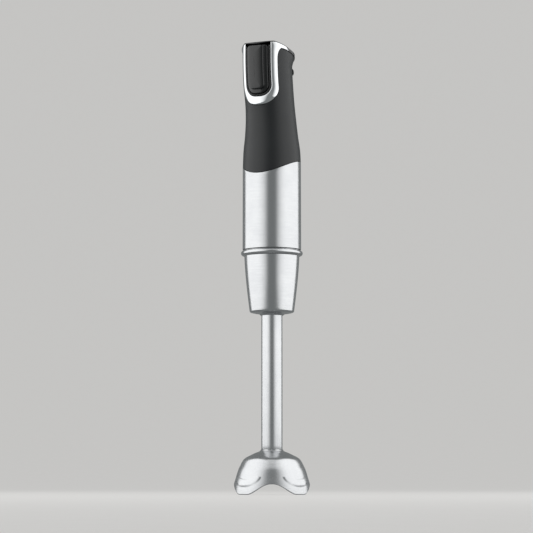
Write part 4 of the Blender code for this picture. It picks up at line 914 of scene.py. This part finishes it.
@dataclass
class Coupling:
    """One half of the drive coupling: a disc with three sector teeth on one face."""

    node: str
    body: str
    low: float
    plate: float
    teeth: float
    bore: float
    turn: float
    root: float = 4.5
    rim: float = 7.2
    tooth_steps: int = 10
    steps: int = 72

    def build(self) -> None:
        """Extrude the disc from a ring of sectors, then its teeth from one face, and round the edges."""
        bm = bmesh.new()
        bmesh.ops.create_circle(bm, segments=self.steps, radius=self.rim * MM, cap_ends=True)
        ring_in(bm, bm.faces[:], self.rim - self.root)
        ring_in(bm, [self.middle(bm)], self.root - self.bore)
        bmesh.ops.delete(bm, geom=[self.middle(bm)], context="FACES")
        downward = self.teeth < 0
        base = self.low + (self.plate if downward else 0.0)
        bmesh.ops.translate(bm, verts=bm.verts, vec=(0, 0, base * MM))
        face_z = self.extrude(bm, bm.faces[:], -self.plate if downward else self.plate, base)
        chosen = []
        spacing = self.steps // 3
        for face in bm.faces:
            spot = face.calc_center_median() / MM
            step = int(math.degrees(math.atan2(spot.y, spot.x)) % 360 // (360 / self.steps))
            outside = math.hypot(spot.x, spot.y) > self.root
            if abs(spot.z - face_z) < 0.01 and outside and step % spacing < self.tooth_steps:
                chosen.append(face)
        tooth = abs(self.teeth) if downward else self.teeth - self.plate
        self.extrude(bm, chosen, -tooth if downward else tooth, face_z)
        turning = Matrix.Rotation(math.radians(self.turn), 3, "Z")
        bmesh.ops.rotate(bm, verts=bm.verts, cent=(0, 0, 0), matrix=turning)
        soften(bm, 60, 0.22, 2)
        Piece(self.node, self.body, "black_nylon", BLACK_NYLON).place(bm, 50)

    @staticmethod
    def middle(bm: bmesh.types.BMesh) -> bmesh.types.BMFace:
        """The face nearest the axis."""
        return min(bm.faces, key=lambda face: face.calc_center_median().xy.length)

    @staticmethod
    def extrude(bm: bmesh.types.BMesh, faces: Iterable, rise: float, base: float) -> float:
        """Raise a set of faces straight along Z.

        Args:
            bm: the mesh.
            faces: the faces to raise.
            rise: how far, in millimetres; negative lowers them.
            base: their height now.

        Returns:
            Their height afterwards.
        """
        faces = list(faces)
        closed = all(not edge.is_boundary for face in faces for edge in face.edges)
        grown = bmesh.ops.extrude_face_region(bm, geom=faces, use_keep_orig=not closed)["geom"]
        if closed:
            bmesh.ops.delete(bm, geom=[face for face in faces if face.is_valid], context="FACES")
        moved = [item for item in grown if isinstance(item, bmesh.types.BMVert)]
        bmesh.ops.translate(bm, verts=moved, vec=(0, 0, rise * MM))
        return base + rise


# ---------------------------------------------------------------- foot

@dataclass
class Foot:
    """The pull-off foot: cone collar, socket, tube, bell guard, hub and seal."""

    collar_low: float = 159.0
    seam: float = 217.6
    collar_r: float = 24.6
    foot_r: float = 19.9
    tube_r: float = 9.4
    bell_height: float = 39.3
    bell_turn: float = 27.0
    arch: float = 9.1
    arch_ease: float = 0.85
    lobe_flat: float = 8.0
    crescent_proud: float = 0.42
    wall: float = 1.2
    spigot_low: float = 193.0

    def build(self) -> None:
        """Build and dress every visible piece of the foot."""
        self.collar()
        self.socket()
        self.tube()
        self.bell()
        self.hub()

    def cone(self, share: float) -> float:
        """The collar's outer radius from its lower edge at 0 to the bead at 1."""
        rise = math.sin(share * math.pi / 2)
        return self.foot_r + (self.collar_r - self.foot_r) * (0.55 * rise + 0.45 * share)

    def collar(self) -> None:
        """The cone collar: a shallow underside, a rounded lower edge, a curved cone and a rolled bead."""
        low, seam = self.collar_low, self.seam
        edge, neck = low + 4.1, seam - 6.0
        under = [
            (self.tube_r + 0.12, low + 0.3), (self.tube_r + 0.4, low), (self.tube_r + 0.9, low + 0.15),
            (self.tube_r + 1.4, low + 0.7), (self.tube_r + 2.0, low + 1.2), (13.0, low + 1.45),
            (16.4, low + 2.0), (18.3, low + 2.45), (19.0, low + 2.7), (19.5, low + 3.1), (19.8, low + 3.55)]
        side = [(self.cone(share), edge + (neck - edge) * share) for share in spread(0, 1, 24)]
        bead = [(self.collar_r + 0.05, seam - 5.6), (25.2, seam - 5.35)]
        for degrees in spread(-78, 66, 12):
            turn = math.radians(degrees)
            bead.append((25.0 + 2.6 * math.cos(turn), seam - 2.95 + 2.45 * math.sin(turn)))
        bead += [(25.75, seam - 0.55), (25.9, seam - 0.2), (25.7, seam)]
        inner = self.collar_r - self.wall
        inside = [(inner, seam), (inner, neck), (self.cone(0.5) - self.wall, (edge + neck) / 2),
                  (self.foot_r - self.wall, edge + 0.5), (17.4, low + 3.3), (13.0, low + 2.2),
                  (self.tube_r + 0.12, low + 1.5)]
        bm = spin(under + side + bead + inside, 192)
        Piece("foot_collar", "foot", "satin_steel", SATIN_STEEL).place(bm, 50)

    def socket(self) -> None:
        """The nylon socket inside the collar, with the snap ring's groove."""
        floor, bore = self.spigot_low - 3.9, 19.8
        groove, top = self.spigot_low + 6.5, self.seam - 1.0
        stem = self.tube_r - 0.8 - GAP
        corners = [(stem, floor - 3)]
        for z in (floor - 3, floor + 8, groove + 4, top):
            share = (z - 1.2 - self.collar_low - 5.2) / (self.seam - self.collar_low - 11.2)
            share = min(max(share, 0.0), 1.0)
            corners.append((self.cone(share) - self.wall - 0.6, z))
        corners += [
            (bore, top), (bore, groove + 1.2), (bore + 1.0, groove + 1.2), (bore + 1.0, groove - 1.2),
            (bore, groove - 1.2), (bore, floor), (5.6, floor), (5.6, floor - 23), (stem, floor - 23)]
        Piece("collar_insert", "foot", "black_nylon", BLACK_NYLON).place(spin(rounded(corners, 0.25, 2)))

    def tube(self) -> None:
        """The drawn steel tube, its lower end rolled in a little."""
        low, high = self.bell_height + 0.35, self.spigot_low - 9.9
        outer, inner = self.tube_r, self.tube_r - 0.8
        profile = [
            (outer - 0.6, low - 0.3), (outer - 0.25, low - 0.15), (outer - 0.06, low + 0.2),
            (outer, low + 0.7)]
        profile += [(outer, z) for z in spread(low + 4, high - 4, 12)]
        profile += [(outer, high - 0.2), (outer - 0.2, high), (inner, high), (inner, low)]
        Piece("foot_tube", "foot", "satin_steel", DRAWN_STEEL).place(spin(profile, 128), 50)

    def bell_radius(self, height: float, angle: float) -> float:
        """The bell's outer radius.

        Args:
            height: above the rim's plane.
            angle: degrees from the middle of an arch.

        Returns:
            The radius, fuller at the lobes and flatter towards the arches.
        """
        stations = (
            (0.000, 35.4), (0.214, 34.4), (0.392, 32.2), (0.555, 30.0), (0.660, 28.0), (0.738, 26.4),
            (0.796, 24.8), (0.842, 22.4), (0.890, 18.6), (0.939, 14.6), (0.972, 11.2), (1.000, 9.9))
        share = min(max(height / self.bell_height, 0.0), 1.0)
        radius = hermite(stations, share)[0]
        lobe = (1 - math.cos(math.radians(4 * angle))) / 2
        fuller = 0.5 * lobe * smooth_step((33 - height) / 24)
        flatter = 0.5 * (1 - lobe) * smooth_step((28 - height) / 20)
        return radius + fuller - flatter

    def rim_height(self, angle: float) -> float:
        """Height of the rim: level at the lobes, a smooth arch between them."""
        share = max(0.0, (abs((angle % 90) - 45) - self.lobe_flat) / (44 - self.lobe_flat))
        return self.arch * (1 - math.cos(math.pi * min(1.0, share) ** self.arch_ease)) / 2

    @staticmethod
    def crescent(height: float, angle: float) -> float:
        """How proud the embossed crescent on a lobe stands, from 0 to 1.

        Args:
            height: above the rim's plane.
            angle: degrees from the middle of an arch.

        Returns:
            1 on the crescent's plateau, falling off over its soft edge.
        """
        away = (angle % 90) - 45
        span = 26.0
        if abs(away) >= span:
            return 0.0
        middle = 10.6 + 3.9 * (away / 24) ** 2
        half = 3.0 * (1 - (abs(away) / span) ** 5) ** 0.5
        above = smooth_step((half - (height - middle)) / 1.0 + 0.3)
        below = smooth_step((half - (middle - height)) / 3.2 + 0.5)
        return above * below

    def bell(self) -> None:
        """The bell guard: four lobes, four arches, embossed crescents and a thin wall."""
        count = 240
        angles = spread(0, 360, count)[:-1]
        free = 0.42 * self.bell_height

        def point(radius: float, z: float, angle: float) -> Point:
            """A point in the row frame, the arches turned from the front."""
            turn = math.radians(angle + self.bell_turn)
            return (radius * math.sin(turn), -radius * math.cos(turn), z)

        def row(z: float, inset: float, lift: float = 0.0) -> list[Point]:
            """A ring that is bent up at the arches."""
            points = []
            for angle in angles:
                height = z + self.rim_height(angle) * max(0.0, 1 - z / free)
                radius = self.bell_radius(height, angle) - inset
                proud = self.crescent_proud * self.crescent(height, angle) * (inset < 0.6)
                points.append(point(radius + proud, height + lift, angle))
            return points

        levels = [*spread(38.9, 30, 22), *spread(30, 17, 16)[1:], *spread(17, 0.9, 44)[1:], 0.4]
        rings = [[point(self.tube_r + 0.1, self.bell_height + 0.75, a) for a in angles],
                 [point(self.tube_r + 0.35, self.bell_height + 0.6, a) for a in angles]]
        rings += [row(z, 0.0) for z in levels]
        rings += [row(0.1, 0.15), row(0.0, 0.4), row(0.0, 0.8), row(0.1, 1.05), row(0.4, self.wall)]
        rings += [row(z, self.wall) for z in (2, 5, 9, 13, 17, 22, 26)]
        rings += [row(z, 0.7, -0.95) for z in (30, 33, 35.5, 37.2)]
        rings += [[point(7.6, self.bell_height - 1.5, a) for a in angles],
                  [point(7.6, self.bell_height + 0.1, a) for a in angles],
                  [point(self.tube_r - 0.2, self.bell_height + 0.2, a) for a in angles]]
        Piece("bell_guard", "foot", "satin_steel", POLISHED_STEEL).place(wrap(rings, looped=True), 60)

    def hub(self) -> None:
        """The nylon hub under the bell's crown, and the lip seal in it."""
        low, stem = self.bell_height - 19, 7.3
        corners = ((5.5, low), (8.3, low), (8.3, low + 10), (12.0, low + 11), (12.0, low + 12.6),
                   (stem, low + 13.6), (stem, low + 26), (5.5, low + 26))
        Piece("bell_hub", "foot", "black_nylon", BLACK_NYLON).place(spin(rounded(corners, 0.35), 96))
        seal = (
            (2.9, low + 0.6), (3.5, low + 1.2), (4.3, low + 0.9), (5.2, low + 0.4), (5.2, low + 3.6),
            (2.9, low + 3.6))
        Piece("foot_seal", "foot", "grey_rubber", RUBBER).place(spin(rounded(seal, 0.12, 2), 72))


@dataclass
class BladeSet:
    """The drive shaft, its coupling half, the four-winged blade and its nut."""

    bell_height: float = 39.3
    shaft_r: float = 2.5
    hub_r: float = 9.0
    thick: float = 1.3
    plate_z: float = 189.4

    def build(self) -> None:
        """Build and dress the blade's side of the drive."""
        self.shaft()
        Coupling("driven_coupling", "blade_shaft", self.plate_z, 4.6, 10.6, 2.9, 66.0).build()
        self.blade()
        self.nut()

    def shaft(self) -> None:
        """The long steel shaft with chamfered ends."""
        low, high = self.bell_height - 26.5, self.plate_z + 4.2
        chamfer = 0.4
        end_r = self.shaft_r - chamfer
        profile = ((0, high), (end_r, high), (self.shaft_r, high - chamfer), (self.shaft_r, low + chamfer),
                   (end_r, low), (0, low))
        Piece("drive_shaft", "blade_shaft", "bright_steel", BRIGHT_STEEL).place(spin(profile, 48))

    def blade(self) -> None:
        """A pressed blade: an octagonal hub, and four wings ground thin along one side."""
        low = self.bell_height - 23.6
        bm = bmesh.new()
        bmesh.ops.create_circle(
            bm, segments=8, radius=self.hub_r * MM, cap_ends=True,
            matrix=Matrix.Translation((0, 0, low * MM)) @ Matrix.Rotation(math.radians(22.5), 4, "Z"))
        ring_in(bm, bm.faces[:], (self.hub_r - 3.1) * math.cos(math.pi / 8))
        bmesh.ops.delete(bm, geom=[Coupling.middle(bm)], context="FACES")
        Coupling.extrude(bm, bm.faces[:], self.thick, low)
        for quarter in range(4):
            self.wing(bm, quarter)
        bmesh.ops.recalc_face_normals(bm, faces=bm.faces)
        soften(bm, 50, 0.16, 2)
        Piece("blade", "blade_shaft", "bright_steel", GROUND_STEEL).place(bm, 30)

    def wing(self, bm: bmesh.types.BMesh, quarter: int) -> None:
        """Draw one wing out of the hub's side in short reaches.

        Args:
            bm: the blade's mesh.
            quarter: which of the four sides; odd ones bend up, even ones down.
        """
        heading = Vector((math.cos(quarter * math.pi / 2), math.sin(quarter * math.pi / 2), 0))
        side = Vector((-heading.y, heading.x, 0))
        bend = 1.0 if quarter % 2 else -1.0
        face = max(bm.faces, key=lambda item: item.calc_center_median().dot(heading))
        for reach, rise, narrow in ((2.5, 0.0, 0.98), (2.0, 0.2, 0.97), (2.2, 0.75, 0.93), (2.3, 0.95, 0.9),
                                    (2.3, 0.95, 0.87), (2.0, 0.75, 0.8)):
            grown = bmesh.ops.extrude_discrete_faces(bm, faces=[face])
            face = grown["faces"][0]
            middle = face.calc_center_median()
            for vert in face.verts:
                offset = (vert.co - middle).dot(side)
                vert.co -= side * offset * (1 - narrow)
                vert.co += (heading * reach + Vector((0, 0, bend * rise))) * MM
                if offset > 0:
                    vert.co.z += (middle.z + bend * rise * MM - vert.co.z) * 0.35

    def nut(self) -> None:
        """The blade's hexagon nut, chamfered, on its washer face."""
        low = self.bell_height - 27.6
        bm = bmesh.new()
        bmesh.ops.create_circle(
            bm, segments=6, radius=4.6 * MM, cap_ends=True, matrix=Matrix.Translation((0, 0, low * MM)))
        ring_in(bm, bm.faces[:], (4.6 - 2.9) * math.cos(math.pi / 6))
        bmesh.ops.delete(bm, geom=[Coupling.middle(bm)], context="FACES")
        Coupling.extrude(bm, bm.faces[:], 3.7, low)
        soften(bm, 50, 0.35, 3)
        Piece("blade_nut", "blade_shaft", "bright_steel", GROUND_STEEL).place(bm, 30)


class InnerWorks:
    """The motor's, switch gear's and bearings' pieces, which keep their CAD meshes."""

    def build(self) -> None:
        """Give each carried-over node its finish."""
        for finish, slot_name, names in CARRIED:
            for name in names:
                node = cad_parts[name]
                node.data.materials.clear()
                node.data.materials.append(finish.material())
                LOG.info("%s: carried over, %s", name, finish.name)


# ---------------------------------------------------------------- studio

@dataclass
class Softbox:
    """A tall soft light that curves round one side, seen from the object between two angles.

    Angles are from the camera's side. level is the cloth's radiance in the middle of the box.
    """

    name: str
    start: float
    end: float
    near: float
    far: float
    level: float
    low: float = 0.02
    height: float = 1.6

    def build(self, studio: "Studio") -> None:
        """Hang the light, facing the object."""
        start = studio.direction(self.start) * self.near
        end = studio.direction(self.end) * self.far
        lamp = bpy.data.lights.new(self.name, "AREA")
        lamp.shape = "RECTANGLE"
        lamp.size = (end - start).length
        lamp.size_y = self.height
        lamp.energy = math.pi * lamp.size * lamp.size_y
        self.fall_off(lamp)
        along = (end - start).normalized()
        up = Vector((0, 0, 1))
        outward = along.cross(up)
        middle = (start + end) / 2 + up * (self.height / 2 + self.low)
        if outward.dot(middle) < 0:
            outward = -outward
        item = bpy.data.objects.new(self.name, lamp)
        facing = Matrix((up.cross(outward), up, outward)).transposed()
        item.matrix_world = Matrix.Translation(middle) @ facing.to_4x4()
        item.visible_camera = False
        bpy.context.scene.collection.objects.link(item)

    def fall_off(self, lamp: bpy.types.Light) -> None:
        """Dim the cloth smoothly towards both upright edges, as a real softbox does."""
        lamp.use_nodes = True
        tree = lamp.node_tree
        glow = tree.nodes["Emission"]
        place = add_node(tree, "ShaderNodeNewGeometry").outputs["Parametric"]
        across = add_node(tree, "ShaderNodeSeparateXYZ", {0: place}).outputs[0]
        if self.end < 0:
            across = add_node(tree, "ShaderNodeMath", {0: 1.0, 1: across}, operation="SUBTRACT").outputs[0]
        rise = add_node(tree, "ShaderNodeMapRange", {
            "Value": across, "From Min": 0.12, "From Max": 0.6}, interpolation_type="SMOOTHSTEP")
        fall = add_node(tree, "ShaderNodeMapRange", {
            "Value": across, "From Min": 1.0, "From Max": 0.93}, interpolation_type="SMOOTHSTEP")
        both = add_node(
            tree, "ShaderNodeMath", {0: rise.outputs[0], 1: fall.outputs[0]}, operation="MULTIPLY")
        level = add_node(tree, "ShaderNodeMath", {0: both.outputs[0], 1: self.level}, operation="MULTIPLY")
        tree.links.new(level.outputs[0], glow.inputs["Strength"])


@dataclass
class Studio:
    """A pale round cove, two large soft lights, a smaller one above the camera, and the camera."""

    azimuth: float = 27.0
    distance: float = 2070.0
    eye: float = 8.5
    aim: float = 203.0
    aside: float = -4.8
    view_height: float = 476.5
    cove_radius: float = 4200.0
    cove_bend: float = 900.0
    paper: str = "#E9E8E6"
    paper_base: str = "#6B6A69"
    paper_glow: float = 0.63
    world: float = 0.26

    def build(self) -> None:
        """Build the cove, the lights, the world and the camera."""
        self.cove()
        Softbox("softbox_left", -8.0, -130.0, 1.75, 1.05, 1.3).build(self)
        Softbox("softbox_right", 8.0, 130.0, 1.75, 1.05, 1.3).build(self)
        self.overhead()
        self.air()
        self.camera()

    def direction(self, degrees: float) -> Vector:
        """A level direction at an angle from the camera's side, seen from the object."""
        turn = math.radians(self.azimuth + degrees)
        return Vector((math.sin(turn), -math.cos(turn), 0))

    def cove(self) -> None:
        """A pale floor that curves up into a backdrop all round."""
        profile = [(0.0, 0.0), (1500.0, 0.0), (self.cove_radius - self.cove_bend, 0.0)]
        for degrees in spread(0, 90, 16)[1:]:
            turn = math.radians(degrees)
            reach = self.cove_radius - self.cove_bend * (1 - math.sin(turn))
            profile.append((reach, self.cove_bend * (1 - math.cos(turn))))
        profile.append((self.cove_radius, 4500.0))
        bm = bmesh.new()
        points = [bm.verts.new((r * MM, 0, z * MM)) for r, z in profile]
        edges = [bm.edges.new(pair) for pair in zip(points, points[1:])]
        bmesh.ops.spin(
            bm, geom=points + edges, cent=(0, 0, 0), axis=(0, 0, 1), angle=math.tau, steps=96,
            use_merge=True, use_duplicate=False)
        bmesh.ops.remove_doubles(bm, verts=bm.verts, dist=0.0005 * MM)
        bmesh.ops.recalc_face_normals(bm, faces=bm.faces)
        bmesh.ops.reverse_faces(bm, faces=bm.faces)
        mesh = bpy.data.meshes.new("studio_cove")
        bm.to_mesh(mesh)
        bm.free()
        mesh.shade_smooth()
        paper = Finish(
            "Background paper, pale", self.paper_base, "#686766", 0.85, 0.05, 2.0, 0.002).material()
        shader = paper.node_tree.nodes["Principled BSDF"]
        shader.inputs["Emission Color"].default_value = linear(self.paper)
        shader.inputs["Emission Strength"].default_value = self.paper_glow
        mesh.materials.append(paper)
        item = bpy.data.objects.new("studio_cove", mesh)
        bpy.context.scene.collection.objects.link(item)
        item.visible_glossy = False
        item.visible_diffuse = False

    def overhead(self) -> None:
        """A dimmer soft light above and behind the camera."""
        lamp = bpy.data.lights.new("softbox_above", "AREA")
        lamp.shape = "RECTANGLE"
        lamp.size, lamp.size_y = 1.3, 1.0
        lamp.energy = 0.6 * math.pi * lamp.size * lamp.size_y
        item = bpy.data.objects.new("softbox_above", lamp)
        item.location = self.direction(0) * 1.0 + Vector((0, 0, 1.9))
        item.rotation_euler = item.location.to_track_quat("Z", "Y").to_euler()
        item.visible_camera = False
        bpy.context.scene.collection.objects.link(item)

    def air(self) -> None:
        """A grey world, which the steel shows between the lights."""
        world = bpy.data.worlds.new("studio_air")
        world.use_nodes = True
        sky = world.node_tree.nodes["Background"]
        sky.inputs["Color"].default_value = linear("#F7FCFC")
        sky.inputs["Strength"].default_value = self.world
        bpy.context.scene.world = world

    def camera(self) -> None:
        """The camera, low and far off, looking slightly up, and a plain tone curve."""
        lens = bpy.data.cameras.new("camera")
        item = bpy.data.objects.new("camera", lens)
        bpy.context.scene.collection.objects.link(item)
        place = self.direction(0) * self.distance * MM + Vector((0, 0, self.eye * MM))
        right = self.direction(90)
        target = right * self.aside * MM + Vector((0, 0, self.aim * MM))
        look = target - place
        item.location = place
        item.rotation_euler = look.to_track_quat("-Z", "Y").to_euler()
        lens.sensor_width = 36.0
        lens.lens = lens.sensor_width / 2 / (self.view_height * MM / 2 / look.length)
        lens.clip_end = 100.0
        bpy.context.scene.camera = item
        bpy.context.scene.view_settings.view_transform = "Standard"


def main() -> None:
    """Build the blender's assemblies in order, then the studio round it."""
    logging.basicConfig(level=logging.INFO, format="%(name)s: %(message)s")
    builders: tuple[tuple[str, Callable[[], None]], ...] = (
        ("inner works", InnerWorks().build),
        ("handle", Handle().build),
        ("motor unit", MotorUnit().build),
        ("foot", Foot().build),
        ("blade set", BladeSet().build),
        ("studio", Studio().build),
    )
    for title, build in builders:
        LOG.info("building the %s", title)
        build()


if __name__ == "__main__":
    main()
